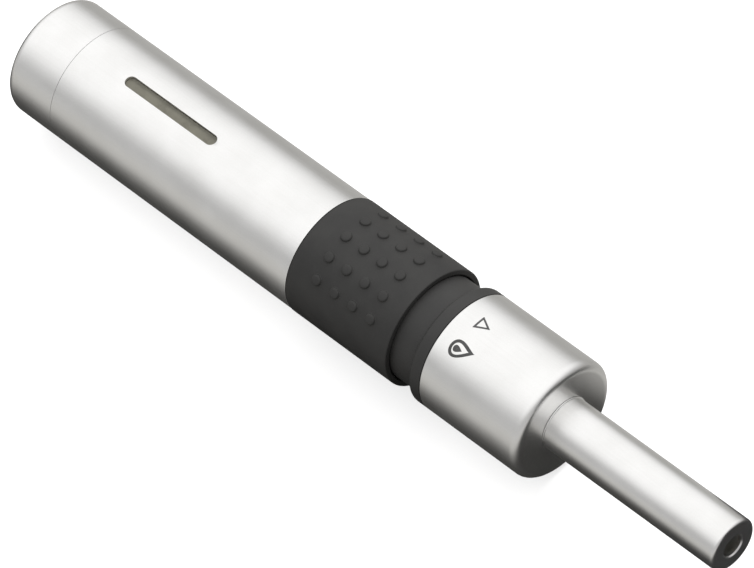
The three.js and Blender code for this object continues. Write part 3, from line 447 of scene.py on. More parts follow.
# %% Metal finishes
def satin_metal():
    finish = Finish("satin_metal", Metallic=1.0)
    drift = finish.noise(9, 2)
    drawn = finish.noise(0.5, 4, 0.6, (0.03, 1, 1))
    grain = finish.noise(0.3, 4, 0.7)
    worn = 0.45 * drift + 0.2 * drawn + 0.35 * grain
    tone = finish.ramp(worn, [(0.38, (0.83, 0.826, 0.815)), (0.62, (0.906, 0.903, 0.896))])
    finish.feed("Base Color", tone)
    finish.feed("Roughness", 0.22 + 0.05 * drift + 0.05 * drawn + 0.08 * grain)
    finish.bump(0.7 * grain + 0.3 * drawn, 0.006)
    return finish.material


def turned_metal(name, dark, light, rough, line):
    """Metal from a lathe, with fine tool lines round its axis."""
    finish = Finish(name, Metallic=1.0)
    lines = finish.noise(line, 3, 0.6, (1, 0.02, 0.02))
    stain = finish.noise(2.5, 3)
    finish.feed("Base Color", finish.ramp(stain, [(0.35, dark), (0.65, light)]))
    finish.feed("Roughness", rough + 0.12 * lines + 0.1 * stain)
    finish.bump(lines, 0.006)
    return finish.material


SATIN = satin_metal()
BRASS = turned_metal("turned_brass", (0.60, 0.43, 0.19), (0.74, 0.57, 0.29), 0.16, 0.12)
STEEL = turned_metal("bright_steel", (0.60, 0.61, 0.62), (0.74, 0.75, 0.76), 0.14, 0.10)
print("metals:", SATIN.name, BRASS.name, STEEL.name)

# %% [markdown]
# ## Rubber and plastics
# Moulded rubber is matt because its surface is a fine pebble, and it is never quite one black: it
# shows slightly greyer clouds. Moulded plastic carries the etched texture of its mould, which is
# finer, and shines more. All of them, and the printed ink, are one base colour with a coarse and a
# fine noise, at different sizes and depths.

# %% Finishes that are moulded
def moulded(name, dark, light, rough, pebble, depth, cloud=6, **numbers):
    finish = Finish(name, **numbers)
    clouds = finish.noise(cloud, 4, 0.6)
    pebbles = finish.noise(pebble, 2, 0.4)
    finish.feed("Base Color", finish.ramp(clouds, [(0.3, dark), (0.7, light)]))
    finish.feed("Roughness", rough + 0.1 * clouds + 0.08 * pebbles)
    finish.bump(pebbles, depth)
    return finish.material


RUBBER = moulded("soft_rubber", (0.021, 0.0205, 0.02), (0.03, 0.0293, 0.028), 0.52, 0.16, 0.01)
BLACK = moulded("black_moulding", (0.024, 0.0235, 0.023), (0.032, 0.0313, 0.03), 0.44, 0.12, 0.006)
ACETAL = moulded("grey_moulding", (0.40, 0.39, 0.37), (0.48, 0.47, 0.45), 0.34, 0.2, 0.004)
SEAL = moulded("seal_rubber", (0.014, 0.014, 0.014), (0.024, 0.024, 0.024), 0.4, 0.08, 0.004)
SILICONE = moulded("milky_silicone", (0.66, 0.64, 0.60), (0.74, 0.72, 0.68), 0.3, 0.3, 0.003)
INSULATION = moulded("red_insulation", (0.36, 0.045, 0.03), (0.46, 0.065, 0.045), 0.32, 0.2, 0.003)
CERAMIC = moulded("white_ceramic", (0.74, 0.72, 0.67), (0.82, 0.80, 0.76), 0.55, 0.1, 0.008, 1.5)


def smoked_plastic():
    """The tank: smoky, half clear, and frosted by its mould."""
    finish = Finish("smoked_plastic", Alpha=0.86)
    haze = finish.noise(4, 4, 0.6)
    frost = finish.noise(0.12, 2)
    tone = finish.ramp(haze, [(0.3, (0.15, 0.143, 0.112)), (0.7, (0.205, 0.197, 0.155))])
    finish.feed("Base Color", tone)
    finish.feed("Roughness", 0.2 + 0.12 * haze + 0.05 * frost)
    finish.bump(frost, 0.003)
    return finish.material


SMOKED = smoked_plastic()
INK = moulded("printed_ink", (0.05, 0.05, 0.05), (0.075, 0.075, 0.075), 0.45, 0.08, 0.002, 1.0)
print("finishes so far:", len(bpy.data.materials))

# %% [markdown]
# ## Turning a piece
# Nearly every part of this lighter came off a lathe or out of a round mould, so one helper makes
# them: it draws half of the section as a closed outline, rounds the corners that the real one
# has rounded, and spins the outline once round the axis. A corner is a station, a radius and the
# size of its rounding, in millimetres. Stations count from the rear face and are read from the
# engineering model, so that every piece fits where its model piece is.

# %% Stations and the lathe
REAR = cad_box[0][0]
ROUND_STEPS = 6
FINE, MEDIUM, SMALL = 192, 96, 48
SMOOTH_ANGLE = math.radians(38)
SUPPORT = 0.12  # of a rounding, the straight that keeps its shading from spreading
MERGE = 1e-7  # metres, under which two vertices are one
CUT_PAST = 1  # how far a cutter stands out of what it cuts


def ends(node):
    """The rear and front station of a node of the model."""
    rear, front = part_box(node)
    return (rear.x - REAR) / MM, (front.x - REAR) / MM


def outer_radius(node):
    rear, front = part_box(node)
    return (front.y - rear.y) / 2 / MM


def from_axis(point):
    """The vector from the axis straight out to a point."""
    return point - Vector((point.x, 0, AXIS_HEIGHT))


def on_circle(radius, angle):
    """The y and z, from the axis, of a point on a circle round it. The angle is 0 at the top."""
    return radius * math.sin(angle), radius * math.cos(angle)


def eased(corners):
    """An outline whose corners (station, radius, ease) are rounded by their ease."""
    points = []
    for i, (station, radius, ease) in enumerate(corners):
        corner = Vector((station, radius))
        if not ease:
            points.append(corner)
            continue
        before = (Vector(corners[i - 1][:2]) - corner).normalized()
        after = (Vector(corners[(i + 1) % len(corners)][:2]) - corner).normalized()
        half = before.angle(after) / 2
        centre = corner + (before + after).normalized() * ease / math.sin(half)
        reach = ease / math.tan(half)
        first = corner + before * reach - centre
        sweep = first.angle_signed(corner + after * reach - centre)
        points.append(corner + before * (reach + SUPPORT * ease))
        for step in range(ROUND_STEPS + 1):
            turn = Matrix.Rotation(-sweep * step / ROUND_STEPS, 2)
            points.append(centre + turn @ first)
        points.append(corner + after * (reach + SUPPORT * ease))
    return points


def spun(corners, steps, height=0.0, turn=0.0):
    """A bmesh of the outline spun round the lighter's axis, or round a line height over it."""
    shape = bmesh.new()
    points = eased(corners)
    verts = [shape.verts.new((REAR + p.x * MM, 0, p.y * MM)) for p in points]
    for a, b in zip(verts, verts[1:]):
        shape.edges.new((a, b))
    if corners[0][1] or corners[-1][1]:
        shape.edges.new((verts[-1], verts[0]))
    bmesh.ops.rotate(shape, verts=verts, matrix=Matrix.Rotation(turn, 3, "X"))
    geometry = verts + shape.edges[:]
    full = 2 * math.pi
    bmesh.ops.spin(shape, geom=geometry, axis=(1, 0, 0), angle=full, steps=steps, use_merge=True)
    bmesh.ops.remove_doubles(shape, verts=shape.verts, dist=MERGE)
    bmesh.ops.recalc_face_normals(shape, faces=shape.faces)
    bmesh.ops.translate(shape, verts=shape.verts, vec=(0, 0, AXIS_HEIGHT + height * MM))
    return shape


def piece(name, shape, finish, node=None, body=None):
    """Makes an object of a bmesh, smooth except at its corners, and ties it to the model."""
    mesh = bpy.data.meshes.new(name)
    shape.to_mesh(mesh)
    shape.free()
    mesh.shade_smooth()
    mesh.set_sharp_from_angle(angle=SMOOTH_ANGLE)
    mesh.materials.append(finish)
    made = bpy.data.objects.new(name, mesh)
    bpy.context.scene.collection.objects.link(made)
    if node:
        body = nodes[node]["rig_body"]
        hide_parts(node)
    if body:
        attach(made, body)
    return made


def turned(node, corners, finish, steps=FINE, height=0.0):
    made = piece(node + "_fine", spun(corners, steps, height), finish, node)
    print(made.name, len(made.data.polygons), "faces")
    return made


def carve(made, *cutters, keep=False):
    """Takes the cutters, which are bmeshes, out of a piece, or keeps only what lies in them."""
    for cutter in cutters:
        tool = piece("cutter", cutter, SATIN)
        cut = made.modifiers.new("cut", "BOOLEAN")
        cut.operation = "INTERSECT" if keep else "DIFFERENCE"
        cut.object = tool
        cut.solver = "EXACT"
        ready = made.evaluated_get(bpy.context.evaluated_depsgraph_get())
        old = made.data
        made.data = bpy.data.meshes.new_from_object(ready)
        made.modifiers.clear()
        made.data.set_sharp_from_angle(angle=SMOOTH_ANGLE)
        bpy.data.meshes.remove(old)
        bpy.data.objects.remove(tool)
    return made


# %% [markdown]
# ## Rear cap and body tube
# The cap is a deep cup with a softly rounded rim. The body tube has one opening: the level slot.
# Its cutter is a circle pulled out to a long round-ended shape and raised in steps that flare at
# the top, so the cut leaves a slightly rounded lip, as a deburred edge has.

# %% Metal of the body
RADIUS = 15.0
WALL = 1.0
CAP_EDGE = 2.0
CAP_END_WALL = 1.6
SHARP = 0.12  # a deburred edge
SEAM_EDGE = 0.04  # the cap and the tube meet in a hairline
SEAM_CLOSED = 0.13  # millimetres of the gap that the model leaves there
TUBE_RINGS = 24  # they keep the faces short beside the slot
bore = RADIUS - WALL

rear, front = ends("rear_cap")
cap_lip = front + SEAM_CLOSED
turned(
    "rear_cap",
    [
        (rear, 0, 0),
        (rear, RADIUS, CAP_EDGE),
        (cap_lip, RADIUS, SEAM_EDGE),
        (cap_lip, bore, SEAM_EDGE),
        (rear + CAP_END_WALL, bore, 0.5),
        (rear + CAP_END_WALL, 0, 0),
    ],
    SATIN,
)
rear, front = ends("body_tube")
tube = turned(
    "body_tube",
    [
        (rear, RADIUS, SEAM_EDGE),
        *[(rear + i * (front - rear) / TUBE_RINGS, RADIUS, 0) for i in range(1, TUBE_RINGS)],
        (front, RADIUS, SHARP),
        (front, bore, SHARP),
        (rear, bore, SHARP),
    ],
    SATIN,
)

SLOT_FROM_REAR = 14.1
SLOT_LENGTH = 28.9
SLOT_WIDTH = 3.0
SLOT_LIP = 0.1
SLOT_DEPTH = 4.0
SLOT_STEPS = 36
LIP_ANGLES = (0, 22.5, 45, 67.5)
LIP_PAST = 0.02  # over the surface, where the flare has ended


def slot_cutter(rear_end, length, width, lip):
    """A round-ended block under the surface that flares by lip where it comes out."""
    cutter = bmesh.new()
    bmesh.ops.create_circle(cutter, cap_ends=True, radius=width / 2 * MM, segments=SLOT_STEPS)
    half_step = Matrix.Rotation(math.pi / SLOT_STEPS, 3, "Z")
    bmesh.ops.rotate(cutter, verts=cutter.verts, matrix=half_step)
    middle = (length - width) / 2 * MM
    for vert in cutter.verts:
        vert.co.x += math.copysign(middle, vert.co.x)
    foot = (RADIUS - SLOT_DEPTH) * MM
    bmesh.ops.translate(cutter, verts=cutter.verts, vec=(0, 0, foot))
    angles = [math.radians(angle) for angle in LIP_ANGLES]
    rounding = [(math.sin(a), 1 - math.cos(a)) for a in angles]
    section = [(RADIUS - lip * (1 - rise), lip * out) for rise, out in rounding]
    section += [(RADIUS + LIP_PAST, lip), (RADIUS + CUT_PAST, lip)]
    top = cutter.faces[:]
    base = top[0]
    grown = 0
    for level, out in section:
        made = bmesh.ops.extrude_face_region(cutter, geom=top)["geom"]
        if top[0] is not base:
            bmesh.ops.delete(cutter, geom=top, context="FACES_ONLY")
        top = [g for g in made if isinstance(g, bmesh.types.BMFace)]
        for vert in top[0].verts:
            centre = Vector((math.copysign(middle, vert.co.x), 0, vert.co.z))
            vert.co += (vert.co - centre).normalized() * (out - grown) * MM
            vert.co.z = level * MM
        grown = out
    bmesh.ops.recalc_face_normals(cutter, faces=cutter.faces)
    place = (REAR + (rear_end + length / 2) * MM, 0, AXIS_HEIGHT)
    bmesh.ops.translate(cutter, verts=cutter.verts, vec=place)
    return cutter


carve(tube, slot_cutter(rear + SLOT_FROM_REAR, SLOT_LENGTH, SLOT_WIDTH, SLOT_LIP))
print("slot carved:", len(tube.data.polygons), "faces")

# %% [markdown]
# ## The neck
# The neck is one black moulding: a smooth cylinder that the sleeve slides over, with a flange whose
# rear corner is rounded. It has two long slots, hidden by the sleeve, for the pins that join the
# sleeve to the carriage. One block through both walls cuts them together.

# %% Neck
NECK_RADIUS = 13.4
NECK_BORE = 11.6
TANK_RADIUS = 13.7
SEAT_RADIUS = 12.4
FLANGE = 3.5
FLANGE_EDGE = 1.0
SPIGOT = 9.7
SEAT = 8.9
rear, front = ends("neck_core")
flange_front = front - SPIGOT
flange_rear = flange_front - FLANGE
tube_front = ends("body_tube")[1]
neck = turned(
    "neck_core",
    [
        (rear, NECK_BORE, 0),
        (rear, TANK_RADIUS, 0.2),
        (tube_front, TANK_RADIUS, 0),
        (tube_front, NECK_RADIUS, 0),
        (flange_rear, NECK_RADIUS, 0.5),
        (flange_rear, RADIUS, FLANGE_EDGE),
        (flange_front, RADIUS, 0.15),
        (flange_front, TANK_RADIUS, 0),
        (front, TANK_RADIUS, 0.3),
        (front, SEAT_RADIUS, 0),
        (front - SEAT, SEAT_RADIUS, 0),
        (front - SEAT, NECK_BORE, 0),
    ],
    BLACK,
)


def block(x, y, z, size):
    """A block with its middle at station x, y and z from the axis, in millimetres."""
    shape = bmesh.new()
    bmesh.ops.create_cube(shape, size=1)
    bmesh.ops.scale(shape, verts=shape.verts, vec=Vector(size) * MM)
    place = (REAR + x * MM, y * MM, AXIS_HEIGHT + z * MM)
    bmesh.ops.translate(shape, verts=shape.verts, vec=place)
    return shape


PIN_SLOT = (8.2, 40, 2.7)  # length along the axis, width through both walls, and height
pin_rear, pin_front = ends("drive_pin_left")
slot_middle = (pin_rear + pin_front) / 2 + (PIN_SLOT[0] - PIN_SLOT[2]) / 2
carve(neck, block(slot_middle, 0, 0, PIN_SLOT))

# %% [markdown]
# ## The head
# The head is a cup with a soft front rim and a hole for the barrel. The rounding inside the rim is
# smaller than the one outside by the wall, so the wall stays nearly even round the bend.

# %% Head
HEAD_EDGE = 2.0
HEAD_WALL = 1.2
BARREL_RADIUS = 6.6
HOLE_FIT = 0.15
head_hole = BARREL_RADIUS + HOLE_FIT
rear, front = ends("head_shell")
turned(
    "head_shell",
    [
        (rear, bore, SHARP),
        (rear, RADIUS, SHARP),
        (front, RADIUS, HEAD_EDGE),
        (front, head_hole, SHARP),
        (front - HEAD_WALL, head_hole, 0),
        (front - HEAD_WALL, bore, HEAD_EDGE - HEAD_WALL),
    ],
    SATIN,
)
head_front = front

# %% [markdown]
# ## The barrel
# The barrel is held in the head by a flange and has a small rolled bead where it comes out, which
# catches a thin line of light. Its tip is closed down to the muzzle, with a small chamfer.

# %% Barrel
BARREL_BORE = 5.8
BARREL_EDGE = 0.9
TIP_WALL = 1.2
MUZZLE = 2.8
MUZZLE_CHAMFER = 0.3
BARREL_FLANGE = (1.4, 7.8)  # length and radius
BEAD = (0.32, 0.22)  # reach in front of the head, and height
BEAD_OFF = 0.04  # between the head and the bead
BEAD_SLOPE = 0.1
rear, front = ends("barrel")
turned(
    "barrel",
    [
        (rear, BARREL_BORE, 0),
        (rear, BARREL_FLANGE[1], SHARP),
        (rear + BARREL_FLANGE[0], BARREL_FLANGE[1], SHARP),
        (rear + BARREL_FLANGE[0], BARREL_RADIUS, 0),
        (head_front + BEAD_OFF, BARREL_RADIUS, 0),
        (head_front + BEAD_OFF, BARREL_RADIUS + BEAD[1], 0.08),
        (head_front + BEAD[0], BARREL_RADIUS + BEAD[1], 0.12),
        (head_front + BEAD[0] + BEAD_SLOPE, BARREL_RADIUS, 0),
        (front, BARREL_RADIUS, BARREL_EDGE),
        (front, MUZZLE + MUZZLE_CHAMFER, 0.06),
        (front - MUZZLE_CHAMFER, MUZZLE, 0.06),
        (front - TIP_WALL, MUZZLE, 0),
        (front - TIP_WALL, BARREL_BORE, 0),
    ],
    SATIN,
    MEDIUM,
)

# %% [markdown]
# ## The rubber sleeve and its studs
# The sleeve is spun with rows and columns that fall on the edges of square cells, one to a stud.
# Each cell's faces are deleted and bridged to a ring, and the ring's edges are extruded again
# and again along the stud's section: a small fillet, a steep side, a rounded shoulder and a nearly
# flat top. The studs are then one skin with the sleeve, as moulded rubber is.

# %% Sleeve
SLEEVE_RADIUS = 15.1
SLEEVE_BORE = 14.4
LIP_BORE = 13.7
LIP = 1.6
LIP_EDGE = 0.3
STUD_ROWS = 4
STUD_COLUMNS = 5
STUD_PITCH = 5.6
STUD_ANGLE = 22.5
STUD_FROM_REAR = 8.0
STUD_SECTION = [  # radius and height, from the foot to the top
    (1.58, 0.0),
    (1.43, 0.02),
    (1.35, 0.07),
    (1.31, 0.16),
    (1.28, 0.34),
    (1.22, 0.47),
    (1.10, 0.56),
    (0.92, 0.615),
    (0.66, 0.64),
    (0.33, 0.65),
]
CELL = 6  # small faces along each side of a stud's cell
SKIN = 0.1  # faces this near to the outside are the sleeve's outer ones
sleeve_steps = round(360 / STUD_ANGLE) * CELL
rear, front = ends("grip_rubber")
first_row = rear + STUD_FROM_REAR - STUD_PITCH / 2
rows = [(first_row + i * STUD_PITCH / CELL, SLEEVE_RADIUS, 0) for i in range(STUD_ROWS * CELL + 1)]
sleeve = spun(
    [
        (rear, SLEEVE_BORE, 0),
        (rear, SLEEVE_RADIUS, 0.2),
        (rear + STUD_FROM_REAR / 3, SLEEVE_RADIUS, 0),
        *rows,
        (front, SLEEVE_RADIUS, LIP_EDGE),
        (front, LIP_BORE, 0.25),
        (front - LIP, LIP_BORE, 0),
        (front - LIP, SLEEVE_BORE, 0),
    ],
    sleeve_steps,
)


def around(point):
    """The angle of a point round the axis, in degrees, 0 at the top."""
    return math.degrees(math.atan2(point.y, point.z - AXIS_HEIGHT))


def raise_stud(shape, station, angle):
    """Opens the cell at a station and an angle, and grows a stud from its edges."""
    turn = math.radians(angle)
    outward = Vector((0, math.sin(turn), math.cos(turn)))
    aside = Vector((0, math.cos(turn), -math.sin(turn)))
    middle = Vector((REAR + station * MM, 0, AXIS_HEIGHT))

    def on_stud(direction, radius, height):
        flat = middle + (Vector((1, 0, 0)) * direction.x + aside * direction.y) * radius * MM
        flat += outward * SLEEVE_RADIUS * MM
        foot = from_axis(flat).normalized() * SLEEVE_RADIUS * MM
        return Vector((flat.x, 0, AXIS_HEIGHT)) + foot + outward * height * MM

    def in_cell(point):
        near = abs(point.x - middle.x) < STUD_PITCH / 2 * MM
        beside = abs(around(point) - angle) < STUD_ANGLE / 2
        return near and beside and from_axis(point).length > (SLEEVE_RADIUS - SKIN) * MM

    cell = [face for face in shape.faces if in_cell(face.calc_center_median())]
    border = [e for f in cell for e in f.edges if sum(g in cell for g in e.link_faces) == 1]
    bmesh.ops.delete(shape, geom=cell, context="FACES")
    border = [e for e in border if e.is_valid]
    ring = bmesh.ops.create_circle(shape, radius=1, segments=len(border))["verts"]
    directions = {v: v.co.xy.normalized() for v in ring}
    for vert, direction in directions.items():
        vert.co = on_stud(direction, *STUD_SECTION[0])
    edges = list({e for v in ring for e in v.link_edges})
    bmesh.ops.bridge_loops(shape, edges=border + edges)
    for radius, height in STUD_SECTION[1:]:
        made = bmesh.ops.extrude_edge_only(shape, edges=edges)["geom"]
        verts = [g for g in made if isinstance(g, bmesh.types.BMVert)]
        edges = [g for g in made if isinstance(g, bmesh.types.BMEdge)]
        edges = [e for e in edges if all(v in verts for v in e.verts)]
        for vert in verts:
            away = vert.co - middle
            direction = Vector((away.x, away.dot(aside))).normalized()
            vert.co = on_stud(direction, radius, height)
    bmesh.ops.edgeloop_fill(shape, edges=edges)


for row in range(STUD_ROWS):
    for column in range(STUD_COLUMNS):
        station = rear + STUD_FROM_REAR + row * STUD_PITCH
        raise_stud(sleeve, station, STUD_ANGLE * (column - (STUD_COLUMNS - 1) / 2))
bmesh.ops.recalc_face_normals(sleeve, faces=sleeve.faces)
rubber = piece("grip_rubber_fine", sleeve, RUBBER, "grip_rubber")
print("sleeve with studs:", len(rubber.data.polygons), "faces")

# %% [markdown]
# ## The fuel tank
# Only a strip of it shows through the level slot, and its rear end when the cap is off. Its spigot
# has a groove for the seal that holds the cap, and an off-centre hole for the filler valve, which
# a spin can't make, so a cutter takes it out.

# %% Tank
TANK_CAVITY = 11.9
SPIGOT_RADIUS = 12.45
SPIGOT_CAVITY = 9.85
SPIGOT_LENGTH = 5.9
TANK_END_WALL = 2.0
TUBE_HOLE = 2.1
GROOVE_DEPTH = 1.0
GROOVE_HALF = 0.7
WIDENS_AFTER = 2.6  # in front of the shoulder, the cavity opens to the tank's full bore
rear, front = ends("fuel_tank")
shoulder = rear + SPIGOT_LENGTH
groove = rear + SPIGOT_LENGTH / 2
widening = shoulder + WIDENS_AFTER
tank = turned(
    "fuel_tank",
    [
        (rear, TUBE_HOLE, 0.1),
        (rear, SPIGOT_RADIUS, 0.6),
        (groove - GROOVE_HALF, SPIGOT_RADIUS, 0.1),
        (groove - GROOVE_HALF, SPIGOT_RADIUS - GROOVE_DEPTH, 0.1),
        (groove + GROOVE_HALF, SPIGOT_RADIUS - GROOVE_DEPTH, 0.1),
        (groove + GROOVE_HALF, SPIGOT_RADIUS, 0.1),
        (shoulder, SPIGOT_RADIUS, 0),
        (shoulder, TANK_RADIUS, 0.3),
        (front, TANK_RADIUS, 0.1),
        (front, TANK_CAVITY, 0.1),
        (widening + TANK_CAVITY - SPIGOT_CAVITY, TANK_CAVITY, 0),
        (widening, SPIGOT_CAVITY, 0),
        (rear + TANK_END_WALL, SPIGOT_CAVITY, 0.4),
        (rear + TANK_END_WALL, TUBE_HOLE, 0),
    ],
    SMOKED,
)
FILLER_HEIGHT = -6.6
FILLER_HOLE = (3, 2.1)  # depth and radius
filler_hole = [
    (rear - CUT_PAST, 0, 0),
    (rear - CUT_PAST, FILLER_HOLE[1], 0),
    (rear + FILLER_HOLE[0], FILLER_HOLE[1], 0),
    (rear + FILLER_HOLE[0], 0, 0),
]
carve(tank, spun(filler_hole, SMALL, FILLER_HEIGHT))

# %% [markdown]
# ## The pane in the level slot
# The pane is curved like the tube, and sits a little under the metal. A ring of the right thickness
# is spun first, and the slot's own cutter, a hair smaller, keeps only what lies in the slot, so the
# pane follows the slot's round ends.

# %% Window in the level slot
WINDOW_RECESS = 0.75
WINDOW_GAP = 0.06
WINDOW_OFF_TANK = 0.1
RING_INSET = 1  # of the ring inside the tube's ends
ring_rear, ring_front = cap_lip + RING_INSET, tube_front - RING_INSET
window_ring = [
    (ring_rear, TANK_RADIUS + WINDOW_OFF_TANK, 0),
    (ring_rear, RADIUS - WINDOW_RECESS, 0),
    (ring_front, RADIUS - WINDOW_RECESS, 0),
    (ring_front, TANK_RADIUS + WINDOW_OFF_TANK, 0),
]
window = piece("level_window_fine", spun(window_ring, FINE), SMOKED, "level_window")
tube_rear = ends("body_tube")[0]
opening = slot_cutter(
    tube_rear + SLOT_FROM_REAR + WINDOW_GAP,
    SLOT_LENGTH - 2 * WINDOW_GAP,
    SLOT_WIDTH - 2 * WINDOW_GAP,
    0,
)
carve(window, opening, keep=True)
print("window:", len(window.data.polygons), "faces")

# %% [markdown]
# ## What the cap hides
# With the cap off, the seal on the tank's spigot, the filler valve and the flame dial show. The
# liner is a plastic ring inside the cap. A seal is a ring of round section, so its outline is a
# small circle, spun like the rest.

# %% Liner and seal
rear, front = ends("cap_liner")
LINER_BORE = 12.75
LINER_FIT = 0.05
liner = [
    (rear, LINER_BORE, 0),
    (rear, bore - LINER_FIT, 0.1),
    (front, bore - LINER_FIT, 0.1),
    (front, LINER_BORE, 0.4),
]
turned("cap_liner", liner, BLACK)


def round_section(station, radius, size, points=20):
    """A small circle as an outline, for a ring of round section."""
    angles = [2 * math.pi * i / points for i in range(points)]
    return [(station + size * math.cos(a), radius + size * math.sin(a), 0) for a in angles]


for name in ("cap_seal", "lid_seal"):
    rear, front = ends(name)
    size = (front - rear) / 2
    turned(name, round_section(rear + size, outer_radius(name) - size, size), SEAL, MEDIUM)

# %% [markdown]
# ## The filler valve
# Gas goes in through a turned brass valve. A nozzle pushes its thin stem in, and a spring pushes it
# back. Both are turned round a line under the lighter's axis.

# %% Filler valve and its stem
FILLER_BORE = 1.2
FILLER_RADIUS = 2.0
SHOULDER_RADIUS = 2.7
SHOULDER_SPAN = (1, 0.2)  # from its rear and its front face to the tank's end
THROAT = 0.8  # length of the narrow bore at the front
rear, front = ends("filler_valve")
tank_rear = ends("fuel_tank")[0]
shoulder_rear, shoulder_front = (tank_rear - span for span in SHOULDER_SPAN)
turned(
    "filler_valve",
    [
        (rear, FILLER_BORE, 0.2),
        (rear, FILLER_RADIUS, 0.25),
        (shoulder_rear, FILLER_RADIUS, 0),
        (shoulder_rear, SHOULDER_RADIUS, 0.2),
        (shoulder_front, SHOULDER_RADIUS, 0.05),
        (shoulder_front, FILLER_RADIUS, 0),
        (front, FILLER_RADIUS, 0.2),
        (front, FILLER_BORE / 2, 0),
        (front - THROAT, FILLER_BORE / 2, 0),
        (front - THROAT, FILLER_BORE, 0),
    ],
    BRASS,
    SMALL,
    FILLER_HEIGHT,
)
STEM_RADIUS = 0.7
STEM_COLLAR = (3.8, 1.0, 1.05)  # from the stem's rear end, length and radius
NEEDLE_RADIUS = 0.4
rear, front = ends("filler_stem")
collar = rear + STEM_COLLAR[0]
turned(
    "filler_stem",
    [
        (rear, 0, 0),
        (rear, STEM_RADIUS, 0.25),
        (collar, STEM_RADIUS, 0),
        (collar, STEM_COLLAR[2], 0.08),
        (collar + STEM_COLLAR[1], STEM_COLLAR[2], 0.08),
        (collar + STEM_COLLAR[1], NEEDLE_RADIUS, 0),
        (front, NEEDLE_RADIUS, 0.1),
        (front, 0, 0),
    ],
    BRASS,
    SMALL,
    FILLER_HEIGHT,
)

# %% [markdown]
# ## The flame dial
# The dial sets the height of the flame. It is a moulding with finger notches round its rim and a
# slot for a coin or a screwdriver, all taken out with cutters, because they cross each other.


# %% Flame dial
def rod(rear, front, radius, y=0.0, z=0.0, steps=24):
    """A plain round bar along the axis, to cut with."""
    shape = bmesh.new()
    length = (front - rear) * MM
    bmesh.ops.create_cone(
        shape, cap_ends=True, segments=steps, radius1=radius * MM, radius2=radius * MM, depth=length
    )
    bmesh.ops.rotate(shape, verts=shape.verts, matrix=Matrix.Rotation(math.pi / 2, 3, "Y"))
    place = (REAR + (rear + front) / 2 * MM, y * MM, AXIS_HEIGHT + z * MM)
    bmesh.ops.translate(shape, verts=shape.verts, vec=place)
    return shape


DIAL_RADIUS = 3.2
DIAL_THICKNESS = 2.2
SPINDLE_RADIUS = 1.1
NOTCHES = 10
NOTCH_RADIUS = 0.38
DRIVER_SLOT = (1.8, 0.8, 4.8)  # length along the axis, width and height
rear, front = ends("flame_dial")
dial = turned(
    "flame_dial",
    [
        (rear, 0, 0),
        (rear, DIAL_RADIUS, 0.35),
        (rear + DIAL_THICKNESS, DIAL_RADIUS, 0.1),
        (rear + DIAL_THICKNESS, SPINDLE_RADIUS, 0),
        (front, SPINDLE_RADIUS, 0.1),
        (front, 0, 0),
    ],
    BLACK,
    MEDIUM,
)
notches = []
for i in range(NOTCHES):
    y, z = on_circle(DIAL_RADIUS, 2 * math.pi * i / NOTCHES)
    notches.append(rod(rear - CUT_PAST, rear + DIAL_THICKNESS + CUT_PAST, NOTCH_RADIUS, y, z))
carve(dial, block(rear, 0, 0, DRIVER_SLOT), *notches)
print("dial:", len(dial.data.polygons), "faces")

# %% [markdown]
# ## What shows down the barrel
# The bore shows the brass jet in its ceramic holder, and the bent wire of the electrode, where the
# spark jumps. A wire is simplest as a curve with a round bevel, made a mesh once it is right.

# %% Jet, holder and electrode
JET_RADIUS = 2.0
JET_BORE = 0.4
JET_TAIL = (4.5, 1.1)  # length and radius
JET_NOSE = 0.8  # length and height of the cone at its front
rear, front = ends("burner_jet")
turned(
    "burner_jet",
    [
        (rear, JET_BORE, 0),
        (rear, JET_TAIL[1], 0.1),
        (rear + JET_TAIL[0], JET_TAIL[1], 0),
        (rear + JET_TAIL[0], JET_RADIUS, 0.15),
        (front - JET_NOSE, JET_RADIUS, 0.2),
        (front, JET_RADIUS - JET_NOSE, 0.1),
        (front, JET_BORE, 0.05),
    ],
    BRASS,
    SMALL,
)
HOLDER_RADIUS = 5.6
AIR_HOLE = (0.8, 3.7, 60)  # radius, circle that they lie on, and degrees between them
LEAD_HEIGHT = -2.9
LEAD_HOLE = 0.55
JET_FIT = 0.1
rear, front = ends("jet_holder")
holder = turned(
    "jet_holder",
    [
        (rear, JET_RADIUS + JET_FIT, 0.1),
        (rear, HOLDER_RADIUS, 0.3),
        (front, HOLDER_RADIUS, 0.3),
        (front, JET_RADIUS + JET_FIT, 0.1),
    ],
    CERAMIC,
    MEDIUM,
)
holes = [rod(rear - CUT_PAST, front + CUT_PAST, LEAD_HOLE, 0, LEAD_HEIGHT)]
for side in (-1, 0, 1):
    y, z = on_circle(AIR_HOLE[1], math.radians(side * AIR_HOLE[2]))
    holes.append(rod(rear - CUT_PAST, front + CUT_PAST, AIR_HOLE[0], y, z))
carve(holder, *holes)


WIRE_MERGE = 1e-6
WIRE_SIDES = 4


